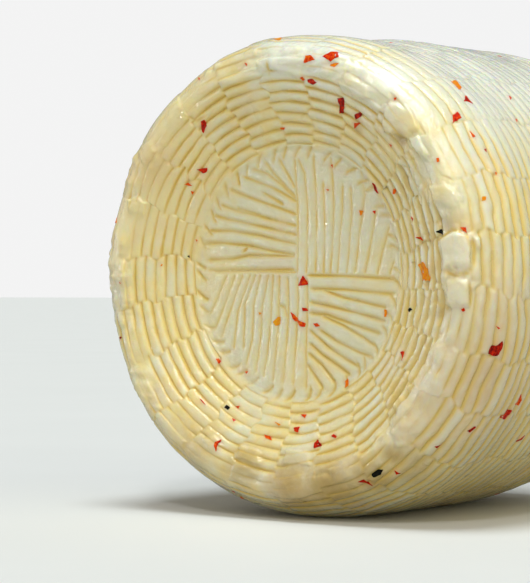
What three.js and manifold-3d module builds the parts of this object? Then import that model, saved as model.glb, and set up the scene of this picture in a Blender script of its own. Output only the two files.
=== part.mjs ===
// A whole wheel of fresh sheep's cheese, pressed in a woven basket and lying on its side.
//
// Millimetres, +Z up. The wheel's axis runs along Y and its patterned front end faces -Y.
// The origin is on the ground, under the middle of the wheel.
//
// The basket leaves its print all over the cheese. Each end is a shallow dish: a flat disc in the
// middle, printed by four bundles of slats laid like a pinwheel, and round it a sloping band of
// woven rows. A thick smooth lip closes the band, and behind it the wall runs back in long ridges.

import * as THREE from 'three';
import { mergeVertices } from 'three/addons/utils/BufferGeometryUtils.js';
import Module from 'manifold-3d';

// Overall size
const LENGTH = 200; // between the crests of the two lips, along the axis
const DISC_RADIUS = 60;
const DISH_DEPTH = 15; // of the flat disc below the lip's crest
const LIP_RADIUS = 102; // at the crest
const BELLY_RADIUS = 120.5;
const AXIS_HEIGHT = 119.5; // of the lips' centre above the ground

// The outline between them, each as a radius and a distance behind the crest of the lip
const BAND_MIDDLE = [75, 8.5];
const LIP_INSIDE = [90, 2.1];
const LIP_OUTSIDE = [109.5, 3.8];
const SHOULDER = [114.5, 13];
const FLANK = [119, 27];
const BELLY_START = 50; // behind the crest

// Woven print
const SECTORS = 24; // the rows change over at this many joints round an end
const ROW_PITCH = 5.4; // from groove to groove on the band
const BAND_ROWS = 7;
const WALL_PITCH = 2 * ROW_PITCH; // each ridge drawn on the wall stands for two rows
const WALL_SECTORS = 8; // the wall's slats are longer, so it has fewer joints
const ROW_HEIGHT = 1.3; // of a slat above the grooves beside it
const LIP_WIDTH = 14.5; // the smooth bead between the last band row and the first wall row
const LIP_RINGS = 3; // rings of vertices across the bead
const JOINT_SHARE = 0.22; // the part of a sector's width that its joint takes up

// Pinwheel on the disc
const SLAT_HEIGHT = 1.4;
const GROOVE_HEIGHT = 0.3; // a bundle's grooves stand this little above the disc
const BUNDLE_SINK = 2; // and its underside is this far below the disc
const PINWHEEL_OFFSET = 2; // of each bundle's first slat from the disc's centre lines
const BUNDLE_END_RADIUS = 57.5; // the slats stop short of the band
const LEVEL_BUNDLE = { slats: 11, pitch: 4.9, fan: 55, fanPower: 2.2 };
const UPRIGHT_BUNDLE = { slats: 10, pitch: 5.5, fan: 18, fanPower: 1.5 };

// How the soft cheese has settled
const SLUMP = 1; // the body hangs this much lower than the front lip
const SLUMP_LENGTH = 35; // and reaches that depth this far behind the lip's crest
const BACK_RISE = 2.5; // the back end stands this much higher
const BACK_TAPER = 2; // and is this much slimmer
const BACK_START = 20; // both begin this far behind the middle of the wheel
const DENT = 4; // on top, just behind the front lip
const DENT_PLACE = 50; // behind the lip's crest
const DENT_LENGTH = 22;
const DENT_ANGLE = 0.7; // radians
const SQUARENESS = 1; // the body's section is this much fuller at the corners of a square
const SQUARE_CORNERS = 4;

// The lip's unevenness, as waves round it that twist along the axis, in radians for each mm
const LIP_WAVES = [
  { count: 5, height: 0.7, start: 0, twist: 1 / 60 },
  { count: 9, height: 0.42, start: 2, twist: 0 },
];
const LIP_WAVES_WIDTH = 16; // they fade out this far inside the crest

const CHEESE_COLOUR = 0xe9dfb4;
const CHEESE_ROUGHNESS = 0.45;
const MERGE_DISTANCE = 1e-4; // vertices closer than this are one

const FRONT = -LENGTH / 2;
const DISC_LEVEL = FRONT + DISH_DEPTH;
const COLUMNS = SECTORS * 2;

// ---------------------------------------------------------------------------------------------
// The outline of one half, from the disc's edge over the lip to the middle of the wheel.
// x is the radius, and y is the distance behind the crest of the lip.

const outline = new THREE.SplineCurve(
  [
    [DISC_RADIUS, DISH_DEPTH],
    BAND_MIDDLE,
    LIP_INSIDE,
    [LIP_RADIUS, 0],
    LIP_OUTSIDE,
    SHOULDER,
    FLANK,
    [BELLY_RADIUS, BELLY_START],
    [BELLY_RADIUS, LENGTH / 2],
  ].map(([radius, depth]) => new THREE.Vector2(radius, depth)),
);

// Each ring round the wheel: how far along the outline it is, and which half row it starts.
// The lip has no rows.
function ringsOfOneHalf() {
  const rings = [];
  for (let half = 0; half <= 2 * BAND_ROWS; half += 1) {
    rings.push({ distance: (half * ROW_PITCH) / 2, half, sectors: SECTORS });
  }
  const lipStart = BAND_ROWS * ROW_PITCH;
  for (let ring = 1; ring <= LIP_RINGS; ring += 1) {
    const distance = lipStart + (ring / (LIP_RINGS + 1)) * LIP_WIDTH;
    rings.push({ distance, half: null, sectors: SECTORS });
  }
  const wallStart = lipStart + LIP_WIDTH;
  const halfRows = 2 * Math.round((outline.getLength() - wallStart) / WALL_PITCH);
  const halfPitch = (outline.getLength() - wallStart) / halfRows;
  for (let half = 0; half <= halfRows; half += 1) {
    rings.push({ distance: wallStart + half * halfPitch, half, sectors: WALL_SECTORS });
  }
  return rings;
}

// The rings of the whole wheel, from the front to the back, with each one's place on the outline
// and the direction that a slat stands out in.
function ringsOfWheel() {
  const placed = ringsOfOneHalf().map((ring) => {
    const share = ring.distance / outline.getLength();
    const point = outline.getPointAt(share);
    const along = outline.getTangentAt(share);
    return { ...ring, radius: point.x, depth: point.y, outX: along.y, outY: -along.x };
  });
  const front = placed.map((ring) => ({ ...ring, y: FRONT + ring.depth }));
  const back = placed.map((ring) => ({ ...ring, y: -FRONT - ring.depth, outY: -ring.outY }));
  back.pop();
  return [...front, ...back.reverse()];
}

// ---------------------------------------------------------------------------------------------
// Settling: the body's section is not quite round, and its middle hangs below the lips.

function towardsBack(y) {
  return THREE.MathUtils.smoothstep(y, BACK_START, -DISC_LEVEL);
}

function axisShift(y) {
  const behindLip = THREE.MathUtils.smoothstep(y, FRONT, FRONT + SLUMP_LENGTH);
  return -SLUMP * behindLip + (SLUMP + BACK_RISE) * towardsBack(y);
}

function lipWaves(angle, radius, y) {
  const lip = THREE.MathUtils.smoothstep(radius, LIP_RADIUS - LIP_WAVES_WIDTH, LIP_RADIUS);
  let height = 0;
  for (const wave of LIP_WAVES) {
    height += wave.height * Math.sin(wave.count * angle + wave.start + wave.twist * y);
  }
  return lip * height;
}

function radialShift(angle, radius, y) {
  const across = Math.sin(angle / 2) / Math.sin(DENT_ANGLE / 2);
  const along = (y - FRONT - DENT_PLACE) / DENT_LENGTH;
  const dent = DENT * Math.exp(-(across * across) - along * along);
  const body = THREE.MathUtils.smoothstep(radius, LIP_RADIUS, BELLY_RADIUS);
  const corners = -SQUARENESS * body * Math.cos(SQUARE_CORNERS * angle);
  return corners + lipWaves(angle, radius, y) - dent - BACK_TAPER * towardsBack(y);
}

// ---------------------------------------------------------------------------------------------
// The wheel without its pinwheels: a lathed body whose vertices are pressed into woven rows.

// Columns of vertices stand close together at a joint and far apart along a slat.
function columnAngle(column) {
  const sector = Math.floor(column / 2);
  const place = column % 2 === 0 ? JOINT_SHARE / 2 : 1 - JOINT_SHARE / 2;
  return ((sector + place) / SECTORS) * 2 * Math.PI;
}

// Rows of neighbouring sectors are half a row apart, as in any weave.
function rowHeight(ring, column) {
  if (ring.half === null) {
    return ROW_HEIGHT / 2;
  }
  const sector = Math.floor((column / COLUMNS) * ring.sectors);
  return (ring.half + sector) % 2 === 0 ? 0 : ROW_HEIGHT;
}

function wovenBody() {
  const rings = ringsOfWheel();
  const profile = [
    new THREE.Vector2(0, DISC_LEVEL),
    ...rings.map((ring) => new THREE.Vector2(ring.radius, ring.y)),
    new THREE.Vector2(0, -DISC_LEVEL),
  ];
  const geometry = new THREE.LatheGeometry(profile, COLUMNS);
  const position = geometry.getAttribute('position');
  for (let index = 0; index < position.count; index += 1) {
    const column = Math.floor(index / profile.length) % COLUMNS;
    const ring = rings[(index % profile.length) - 1];
    if (ring) {
      const angle = columnAngle(column);
      const height = rowHeight(ring, column);
      const y = ring.y + ring.outY * height;
      const radius = ring.radius + ring.outX * height + radialShift(angle, ring.radius, y);
      const z = radius * Math.cos(angle) + axisShift(ring.y);
      position.setXYZ(index, radius * Math.sin(angle), y, z);
    } else {
      position.setZ(index, axisShift(position.getY(index)));
    }
  }
  return geometry;
}

// ---------------------------------------------------------------------------------------------
// The pinwheel: four bundles of slats. A bundle's slats start side by side on a centre line of the
// disc and fan out to its edge. u is measured along the centre line, away from the disc's centre,
// and v along the bundle's first slat.

function grooveStart(bundle, index) {
  return new THREE.Vector2(index * bundle.pitch, 0);
}

function grooveEnd(bundle, index, centre) {
  const start = grooveStart(bundle, index);
  const turn = THREE.MathUtils.degToRad(bundle.fan * (index / bundle.slats) ** bundle.fanPower);
  const along = new THREE.Vector2(Math.sin(turn), Math.cos(turn));
  const fromCentre = start.clone().sub(centre);
  const back = fromCentre.dot(along);
  const rest = BUNDLE_END_RADIUS ** 2 - fromCentre.lengthSq();
  return start.addScaledVector(along, -back + Math.sqrt(back * back + rest));
}

// A bundle is a plate whose top is folded into ridges and grooves: a box with two segments to a
// slat, whose vertices move to the grooves and to the ridges halfway between them.
function bundleGeometry(bundle, centre, place) {
  const plate = new THREE.BoxGeometry(2 * bundle.slats, 1, 1, 2 * bundle.slats, 1, 1);
  const position = plate.getAttribute('position');
  for (let index = 0; index < position.count; index += 1) {
    const half = Math.round(position.getX(index) + bundle.slats);
    const isEnd = position.getZ(index) < 0;
    const isTop = position.getY(index) > 0;
    const line = half / 2;
    const point = isEnd ? grooveEnd(bundle, line, centre) : grooveStart(bundle, line);
    const ridge = half % 2 === 0 ? GROOVE_HEIGHT : SLAT_HEIGHT;
    const corner = place(point, isTop ? ridge : -BUNDLE_SINK);
    position.setXYZ(index, corner.x, corner.y, corner.z);
  }
  return plate;
}

// The way that u and v point on the disc, seen from the front with +X to the right, and the
// corner where the bundle's first slat starts. Level and upright bundles take turns.
const BUNDLES = [
  { u: [0, 1], v: [-1, 0], corner: [-1, 1], shape: LEVEL_BUNDLE },
  { u: [1, 0], v: [0, 1], corner: [-1, -1], shape: UPRIGHT_BUNDLE },
  { u: [0, -1], v: [1, 0], corner: [1, -1], shape: LEVEL_BUNDLE },
  { u: [-1, 0], v: [0, -1], corner: [1, 1], shape: UPRIGHT_BUNDLE },
];

// side is -1 for the front end and 1 for the back end, which is the front turned about Z.
function pinwheelBundles(side) {
  return BUNDLES.map(({ u, v, corner, shape }) => {
    const origin = new THREE.Vector2(...corner).multiplyScalar(PINWHEEL_OFFSET);
    const alongU = new THREE.Vector2(...u);
    const alongV = new THREE.Vector2(...v);
    const centre = new THREE.Vector2(-origin.dot(alongU), -origin.dot(alongV));
    const place = (point, height) => {
      const flat = origin.clone().addScaledVector(alongU, point.x).addScaledVector(alongV, point.y);
      const level = side * (height - DISC_LEVEL);
      return new THREE.Vector3(-side * flat.x, level, flat.y + axisShift((side * LENGTH) / 2));
    };
    return bundleGeometry(shape, centre, place);
  });
}

// ---------------------------------------------------------------------------------------------
// Joining and cutting

const wasm = await Module();
wasm.setup();

function solidOf(geometry) {
  const bare = new THREE.BufferGeometry();
  bare.setAttribute('position', geometry.getAttribute('position').clone());
  bare.setIndex(geometry.getIndex());
  const merged = mergeVertices(bare, MERGE_DISTANCE);
  const corners = merged.getIndex().array;
  const kept = [];
  for (let index = 0; index < corners.length; index += 3) {
    const [a, b, c] = corners.slice(index, index + 3);
    if (a !== b && b !== c && c !== a) {
      kept.push(a, b, c);
    }
  }
  return new wasm.Manifold(
    new wasm.Mesh({
      numProp: 3,
      vertProperties: new Float32Array(merged.getAttribute('position').array),
      triVerts: new Uint32Array(kept),
    }),
  );
}

function geometryOf(solid) {
  const mesh = solid.getMesh();
  const geometry = new THREE.BufferGeometry();
  geometry.setAttribute('position', new THREE.BufferAttribute(mesh.vertProperties, 3));
  geometry.setIndex(new THREE.BufferAttribute(mesh.triVerts, 1));
  geometry.computeVertexNormals();
  return geometry;
}

// Lying on its side has pressed a small flat along the belly.
function groundBlock() {
  const size = 2 * BELLY_RADIUS;
  const block = new THREE.BoxGeometry(size, LENGTH, size);
  block.translate(0, 0, -AXIS_HEIGHT - size / 2);
  return block;
}

function wheelGeometry() {
  let solid = solidOf(wovenBody());
  for (const bundle of [...pinwheelBundles(-1), ...pinwheelBundles(1)]) {
    solid = solid.add(solidOf(bundle));
  }
  return geometryOf(solid.subtract(solidOf(groundBlock())));
}

// ---------------------------------------------------------------------------------------------

const ivoryCheese = new THREE.MeshStandardMaterial({
  color: CHEESE_COLOUR,
  roughness: CHEESE_ROUGHNESS,
  metalness: 0,
});

const geometry = wheelGeometry();
geometry.computeBoundingBox();
const middle = geometry.boundingBox.getCenter(new THREE.Vector3());

const wheel = new THREE.Mesh(geometry, ivoryCheese);
wheel.name = 'cheese_wheel';
wheel.position.set(-middle.x, -middle.y, AXIS_HEIGHT);

const pecorino = new THREE.Group();
pecorino.add(wheel);

export default pecorino;
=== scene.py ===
# %% [markdown]
# # A wheel of fresh sheep's milk cheese, lying on its side
#
# The curd was pressed in a woven basket, so the skin of the cheese is a print: long rows of
# slats round the wall, shorter rows on the sloping band of each end, and on each flat middle four
# bundles of slats laid as a pinwheel. Chili and pepper flakes are caught in the skin.
#
# A print is relief on one closed skin. It could be painted with a bump map, but then the outline
# would stay smooth and the meshes would be bare. So the skin is a fine grid of points that are
# really pushed in and out. Shapes are worked out in millimetres on plain arrays, with the ground
# at z = 0, and turned into metres only when a mesh is made.

import math

import bpy
import numpy as np
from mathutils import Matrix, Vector
from mathutils.bvhtree import BVHTree


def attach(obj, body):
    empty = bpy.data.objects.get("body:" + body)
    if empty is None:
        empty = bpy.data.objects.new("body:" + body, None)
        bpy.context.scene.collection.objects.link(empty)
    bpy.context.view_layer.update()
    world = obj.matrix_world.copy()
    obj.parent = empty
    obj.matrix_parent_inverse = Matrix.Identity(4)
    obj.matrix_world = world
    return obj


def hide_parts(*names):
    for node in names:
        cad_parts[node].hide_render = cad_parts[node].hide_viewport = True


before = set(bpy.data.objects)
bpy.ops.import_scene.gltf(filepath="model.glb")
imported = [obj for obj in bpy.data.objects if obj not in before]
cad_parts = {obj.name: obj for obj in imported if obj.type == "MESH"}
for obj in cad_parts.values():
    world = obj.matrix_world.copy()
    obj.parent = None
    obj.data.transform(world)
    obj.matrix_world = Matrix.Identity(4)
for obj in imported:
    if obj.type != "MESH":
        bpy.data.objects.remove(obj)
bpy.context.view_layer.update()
MM = 0.001

# %% [markdown]
# ## The camera
#
# The wheel is seen from its right through a long lens. The camera is level and stands a little
# lower than the wheel's axis. Its numbers were fitted to the picture, so a pixel of the picture can
# be followed back along a line of sight to the place on the cheese that it shows. Creases and
# flakes that are seen in one place are put there that way.

# %% Camera
PICTURE_WIDTH = 530
PICTURE_HEIGHT = 583
FOCAL_PIXELS = 2300
SENSOR_WIDTH = 36.0
CAMERA_PLACE = np.array([669.0, -976.65, 110.4])
CAMERA_TURN = math.radians(37.67)

sight = np.array([-math.sin(CAMERA_TURN), math.cos(CAMERA_TURN), 0.0])
rightward = np.array([math.cos(CAMERA_TURN), math.sin(CAMERA_TURN), 0.0])
upward = np.array([0.0, 0.0, 1.0])


def line_of_sight(pixel):
    """The direction from the camera through a pixel of the picture."""
    across = (pixel[0] - PICTURE_WIDTH / 2) / FOCAL_PIXELS
    down = (pixel[1] - PICTURE_HEIGHT / 2) / FOCAL_PIXELS
    direction = sight + across * rightward - down * upward
    return direction / np.linalg.norm(direction)


camera = bpy.data.objects.new("camera", bpy.data.cameras.new("camera"))
camera.data.sensor_fit = "HORIZONTAL"
camera.data.sensor_width = SENSOR_WIDTH
camera.data.lens = FOCAL_PIXELS / PICTURE_WIDTH * SENSOR_WIDTH
camera.location = CAMERA_PLACE * MM
camera.rotation_euler = (math.radians(90), 0, CAMERA_TURN)
bpy.context.scene.collection.objects.link(camera)
bpy.context.scene.camera = camera
print("camera lens, mm:", round(camera.data.lens, 1))

# %% [markdown]
# ## The smooth body
#
# Under the print the wheel is a lathed body: a flat disc, a band that slopes up from it, a thick
# lip and a wall. One curve through a few points gives the outline of half of it. "Run" is the way
# walked along that outline: negative on the front disc, 0 at its edge, then over the lip and along
# the wall to the back disc. "Turn" is the angle round the axis, clockwise from the top.

# %% Outline of half the wheel
LENGTH = 200
DISC_RADIUS = 60
LIP_RADIUS = 102
BELLY_RADIUS = 120.5
AXIS_HEIGHT = 119.5
AXIS_SIDE = -0.5

# radius, and depth behind the crest of the lip
OUTLINE = [
    (DISC_RADIUS, 15),
    (75, 8.5),
    (90, 2.1),
    (LIP_RADIUS, 0),
    (109.5, 3.8),
    (114.5, 13),
    (119, 27),
    (BELLY_RADIUS, 50),
    (BELLY_RADIUS, LENGTH / 2),
]


def curve_through(points, steps=60):
    """A smooth curve through the points, as a Catmull-Rom spline."""
    corners = np.array([points[0], *points, points[-1]], float)
    share = np.linspace(0, 1, steps, endpoint=False)[:, None]
    pieces = []
    for before, start, end, after in zip(corners, corners[1:], corners[2:], corners[3:]):
        bend = 2 * before - 5 * start + 4 * end - after
        twist = 3 * start - before - 3 * end + after
        pieces.append(start + ((end - before) * share + bend * share**2 + twist * share**3) / 2)
    return np.vstack([*pieces, corners[-1:]])


outline = curve_through(OUTLINE)
outline_run = np.concatenate([[0], np.cumsum(np.hypot(*np.diff(outline, axis=0).T))])
HALF_RUN = outline_run[-1]
print("outline from the disc to the middle of the wall, mm:", round(HALF_RUN, 1))

# %% [markdown]
# Soft cheese settles. The wall hangs a little lower than the front lip, and the back end stands
# higher and is narrower. The wall is squarer than round, dented on top and bulging at the side. A
# modifier for each of these would be hard to fit, so one function shifts the points by gentle
# bumps. Every later step asks it where a place of the skin is.

# %% Settled body
SLUMP = 1
SLUMP_LENGTH = 35
BACK_RISE = 2.5
BACK_TAPER = 2
# the back end's rise and taper begin and are full at these places along the axis
BACK_RANGE = (20, 85)
# within this radius the flat ends keep their shape
STILL_RADIUS = 20
DENT = 4
DENT_PLACE = 50
DENT_LENGTH = 22
DENT_TURN = 0.7
SQUARENESS = 1
FLANK_BULGE = 2.5
FLANK_TURN = math.radians(97)
FLANK_WIDTH = math.radians(35)
FLANK_PLACE = 30
FLANK_LENGTH = 28


def ease(value, low, high):
    """0 below low, 1 above high, and a smooth step between them."""
    share = np.clip((value - low) / (high - low), 0, 1)
    return share * share * (3 - 2 * share)


def bell(value):
    return np.exp(-value * value)


def body_place(run, turn):
    """The place on the smooth body, in mm, for arrays of run and turn."""
    side = np.where(run < HALF_RUN, -1, 1)
    near = np.minimum(run, 2 * HALF_RUN - run)
    radius = np.interp(near, outline_run, outline[:, 0]) + np.minimum(near, 0)
    depth = np.interp(near, outline_run, outline[:, 1])
    y = side * (LENGTH / 2 - depth)
    back = ease(y, *BACK_RANGE)
    behind_lip = y + LENGTH / 2
    full = ease(radius, LIP_RADIUS, BELLY_RADIUS)
    across = np.sin(turn / 2) / math.sin(DENT_TURN / 2)
    dent = DENT * bell(across) * bell((behind_lip - DENT_PLACE) / DENT_LENGTH)
    flank = FLANK_BULGE * bell((turn - FLANK_TURN) / FLANK_WIDTH)
    flank = flank * bell((behind_lip - FLANK_PLACE) / FLANK_LENGTH)
    shift = (flank - SQUARENESS * np.cos(4 * turn)) * full - dent - BACK_TAPER * back
    radius = radius + shift * ease(radius, STILL_RADIUS, DISC_RADIUS)
    lift = -SLUMP * ease(behind_lip, 0, SLUMP_LENGTH) + (SLUMP + BACK_RISE) * back
    x = radius * np.sin(turn) + AXIS_SIDE
    z = radius * np.cos(turn) + AXIS_HEIGHT + lift
    return np.stack([x, y, z], -1)


print("top of the wall, mm:", body_place(np.array(HALF_RUN), np.array(0.0)).round(1).tolist())

# %% [markdown]
# ## The grid of points
#
# Nothing on a cheese is quite even, so most steps below add some soft noise. It has a random value
# at each corner of a lattice and smooth steps between them, and it is seeded, so it is the same at
# each run. A shift added to the place picks another part of the lattice, so that one noise gives
# lumps of many sorts, and a few of them together make lumps within lumps.

# %% Noise
LATTICE = 32


def noise_maker(seed):
    """Soft lumps in space, from -1 to 1, as large as the grain."""
    lattice = np.random.default_rng(seed).uniform(-1, 1, (LATTICE, LATTICE, LATTICE)).astype(np.float32)

    def noise(place, grain):
        scaled = place / grain
        corner = np.floor(scaled).astype(int)
        share = scaled - corner
        share = share * share * (3 - 2 * share)
        total = 0
        for step in np.ndindex(2, 2, 2):
            index = (corner + step) % LATTICE
            weight = np.where(np.array(step) == 1, share, 1 - share).prod(-1)
            total = total + weight * lattice[index[..., 0], index[..., 1], index[..., 2]]
        return total

    return noise


wobble_noise = noise_maker(1)
smear_noise = noise_maker(2)
lump_noise = noise_maker(3)
slat_noise = noise_maker(4)


def layered(noise, place, layers):
    """A sum of one noise in several layers, each with a strength, a grain in mm and a shift."""
    return sum(strength * noise(place + shift, grain) for strength, grain, shift in layers)


print("noise 5 mm apart:", [round(float(wobble_noise(np.array([x, 0.0, 0.0]), 8)), 2) for x in (0, 5, 10)])

# %% [markdown]
# A groove is less than a millimetre wide, so an even grid would have to be very fine everywhere.
# Instead the rings crowd together where the weave has its grooves, and the columns crowd together
# at the joints between the slats. The sides that are seen least get the fewest rings.

# %% Rings and columns
ROW_PITCH = 5.4
WALL_PITCH = 6.1
BAND_ROWS = 7
LIP_ROWS = 3
SECTORS = 24
COLUMNS_PER_SECTOR = 24
COLUMNS = SECTORS * COLUMNS_PER_SECTOR
SECTOR_TURN = 2 * math.pi / SECTORS

band_end = BAND_ROWS * ROW_PITCH
wall_start = (BAND_ROWS + LIP_ROWS) * ROW_PITCH
wall_length = 2 * (HALF_RUN - wall_start)
WALL_ROWS = round(wall_length / WALL_PITCH)
wall_pitch = wall_length / WALL_ROWS


def rings_between(start, end, pitch, offsets):
    """Rings at the offsets from every half row between start and end."""
    half_rows = start + pitch / 2 * np.arange(round(2 * (end - start) / pitch) + 1)
    rings = (half_rows[:, None] + np.array(offsets)).ravel()
    return rings[(rings > start) & (rings < end)]


# how far from the middle of each half row its rings lie, in mm
FINE = (-1.05, -0.6, -0.3, 0, 0.3, 0.6, 1.05)
MEDIUM = (-1.15, -0.6, -0.2, 0.2, 0.6, 1.15)
COARSE = (-0.9, -0.35, 0, 0.35, 0.9)
SPARSE = (-1, -0.35, 0.35, 1)
DISC_STEP = 0.44
BACK_DISC_STEP = 0.7
SMALLEST_RING = 0.4
CROWDING = 0.45

wall_middle = wall_start + wall_length / 2
wall_end = wall_start + wall_length
ring_parts = [
    np.arange(SMALLEST_RING, DISC_RADIUS, DISC_STEP) - DISC_RADIUS,
    rings_between(0, wall_start, ROW_PITCH, FINE),
    rings_between(wall_start, wall_middle, wall_pitch, MEDIUM),
    rings_between(wall_middle, wall_end, wall_pitch, SPARSE),
    2 * HALF_RUN - rings_between(0, wall_start, ROW_PITCH, COARSE),
    2 * HALF_RUN + DISC_RADIUS - np.arange(SMALLEST_RING, DISC_RADIUS, BACK_DISC_STEP),
]
ring_run = np.sort(np.concatenate(ring_parts))

column_share = np.arange(COLUMNS) / COLUMNS_PER_SECTOR
run, step_share = np.meshgrid(ring_run, column_share, indexing="ij")
near_run = np.minimum(run, 2 * HALF_RUN - run)
crowding = CROWDING * ease(near_run, -8, 3)
weave_turn = (step_share - crowding * np.sin(2 * math.pi * step_share) / (2 * math.pi)) * SECTOR_TURN
print("grid:", len(ring_run), "rings of", COLUMNS, "points")

# %% [markdown]
# A hand-woven basket is never true, and the soft cheese sags in it. The joints lean: at the top of
# the wheel they stand 9 degrees past the even spacing, and at the bottom 1 degree. Each row's
# joints stray from that by a few millimetres of their own. The rows wander by about a millimetre,
# more on the soft wall than on the band. The whole grid is pulled along with them, so its close
# rings and columns still lie in the grooves.

# %% Pull the weave out of true
JOINT_LEAN = math.radians(5)
JOINT_SWAY = math.radians(4)
JOINT_STRAY = 2.8
STRAY_LENGTH = 26
# the noise of single rows is read on a round of this radius, as large as the disc
STRAY_RADIUS = 60
WANDER_LAYERS = [(1.1, 24, 0), (0.4, 8, 500)]
SMALLEST_RADIUS = 5

even_place = body_place(run, weave_turn)
on_weave = ease(near_run, -6, 6)
wander = layered(wobble_noise, even_place, WANDER_LAYERS)
wander *= 1 + ease(near_run, wall_start - 5, wall_start + 20)
by_row = np.stack([run, STRAY_RADIUS * np.sin(weave_turn), STRAY_RADIUS * np.cos(weave_turn)], -1)
stray = JOINT_STRAY * wobble_noise(even_place + 900, STRAY_LENGTH)
stray += JOINT_STRAY * wobble_noise(by_row + 300, ROW_PITCH)
bent_run = run + wander * on_weave
body_radius = np.interp(near_run, outline_run, outline[:, 0]) + np.minimum(near_run, 0)
body_radius = np.maximum(body_radius, SMALLEST_RADIUS)
bent_turn = weave_turn + JOINT_LEAN + JOINT_SWAY * np.cos(weave_turn) + stray * on_weave / body_radius
skin = body_place(bent_run, bent_turn)


def outward(grid):
    """Unit directions that stand out of a grid of rings and columns."""
    along = np.gradient(grid, axis=0)
    round_axis = np.roll(grid, -1, 1) - np.roll(grid, 1, 1)
    normal = np.cross(round_axis, along)
    return normal / np.maximum(np.linalg.norm(normal, axis=-1, keepdims=True), 1e-9)


skin_out = outward(skin)
middle = np.array([AXIS_SIDE, 0, AXIS_HEIGHT])
if ((skin - middle) * skin_out).sum() < 0:
    skin_out = -skin_out
print("skin spans, mm:", np.round(np.ptp(skin, axis=(0, 1)), 1).tolist())

# %% [markdown]
# ## Finding a place by its pixel
#
# A coarse copy of the smooth body is enough to catch a line of sight. A pixel on the very edge of
# the cheese may just miss it, and is then moved towards the middle until it meets the body. One
# that lies further out is a mistake in the list, so the script says so.

# %% Cast a pixel onto the body
DISC_MIDDLE = np.array([300.0, 273.0])
EDGE_PIXELS = 15
COARSE_STEP = 4
coarse_rows = skin[::COARSE_STEP, ::COARSE_STEP]


def grid_faces(rows, columns):
    """The four-sided faces of a closed band of rings."""
    ring, column = np.meshgrid(np.arange(rows - 1), np.arange(columns), indexing="ij")
    beside = (column + 1) % columns
    corners = [ring * columns + column, ring * columns + beside]
    corners += [(ring + 1) * columns + beside, (ring + 1) * columns + column]
    return np.stack(corners, -1).reshape(-1, 4)


coarse_faces = grid_faces(*coarse_rows.shape[:2])
coarse_body = BVHTree.FromPolygons(coarse_rows.reshape(-1, 3).tolist(), coarse_faces.tolist())


def place_of(pixel):
    """The place on the smooth body that a pixel shows, in mm."""
    inward = DISC_MIDDLE - pixel
    inward /= max(np.linalg.norm(inward), 1)
    for pixels_in in range(EDGE_PIXELS):
        moved = pixel + pixels_in * inward
        place = coarse_body.ray_cast(Vector(CAMERA_PLACE), Vector(line_of_sight(moved)))[0]
        if place is not None:
            return np.array(place)
    raise ValueError(f"pixel {pixel} is off the cheese")


def spot(pixel, size):
    """1 at the place that a pixel shows, and less with the distance from it, for all the skin."""
    return bell(np.linalg.norm(skin - place_of(pixel), axis=-1) / size)


def spotted(spots):
    """How strongly the skin is marked by spots, each with a pixel, a size in mm and a strength."""
    marked = np.zeros(run.shape)
    for pixel, size, strength in spots:
        marked = np.maximum(marked, strength * spot(pixel, size))
    return marked


print("the middle of the disc is at, mm:", np.round(place_of(DISC_MIDDLE), 1).tolist())

# %% [markdown]
# ## Cutting grooves
#
# Every groove has the same section: a thin sharp cut where two slats met, with rounded shoulders.
# Where grooves meet, the deeper cut wins. "Cut" is the depth in mm at each point, and "gold and
# shade" is how much of the thin cut is there, which later colours the grooves gold, partly as painted
# shade. Most slats are nearly flat, but on the right of the band they are round ribs, so the
# shoulders are deeper there.

# %% Groove section
CUT_WIDTH = 0.5
CUT_DEPTH = 0.4
SHOULDER_WIDTH = 2.6
SHOULDER_DEPTH = 0.75
SHOULDER_POWER = 1.8
SHOULDER_VARIETY = 0.6
SHOULDER_GRAIN = 25
# how much deeper the shoulders of a round rib are, and how much of the sharp cut it loses
RIB_DEPTH = 1.3
RIB_SOFTNESS = 0.85
# a carved groove is as soft as one that is ribbed this much
CARVED_RIBBING = 0.4
GOLD_SPREAD = 1.4


def groove_depth(distance, strength, places, ribbed, sharpness=1.0):
    """A thin cut between the round shoulders of two slats."""
    shoulder = np.clip(1 - distance / SHOULDER_WIDTH, 0, 1) ** SHOULDER_POWER
    variety = SHOULDER_VARIETY * smear_noise(places + 700, SHOULDER_GRAIN)
    round_share = 1 + variety + RIB_DEPTH * ribbed
    sharp = sharpness * CUT_DEPTH * (1 - RIB_SOFTNESS * ribbed) * bell(distance / CUT_WIDTH)
    return strength * (sharp + SHOULDER_DEPTH * round_share * shoulder)


def groove_gold_and_shade(distance, strength, ribbed):
    """How much of the thin cut is at a distance from its middle."""
    return strength * (1 - RIB_SOFTNESS * ribbed) * bell(distance / (GOLD_SPREAD * CUT_WIDTH))


print("a groove's full depth, mm:", round(float(groove_depth(0, 1, np.zeros(3), 0)), 2))

# %% [markdown]
# A groove that is drawn by pixels follows a line of places on the smooth body. Each point of the
# skin takes its distance to the nearest part of that line, and the way along it, by which the
# groove fades in and out at its ends. Only the points close to the line are looked at, since there
# are over a hundred such lines.

# %% Carve along a line
# how strong a groove is at its very ends
END_STRENGTH = 0.35
CARVED_STRENGTH = 0.8
CARVED_VARIETY = 0.35
CARVED_GRAIN = 9

cut = np.zeros(run.shape)
gold_and_shade = np.zeros(run.shape)


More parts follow.
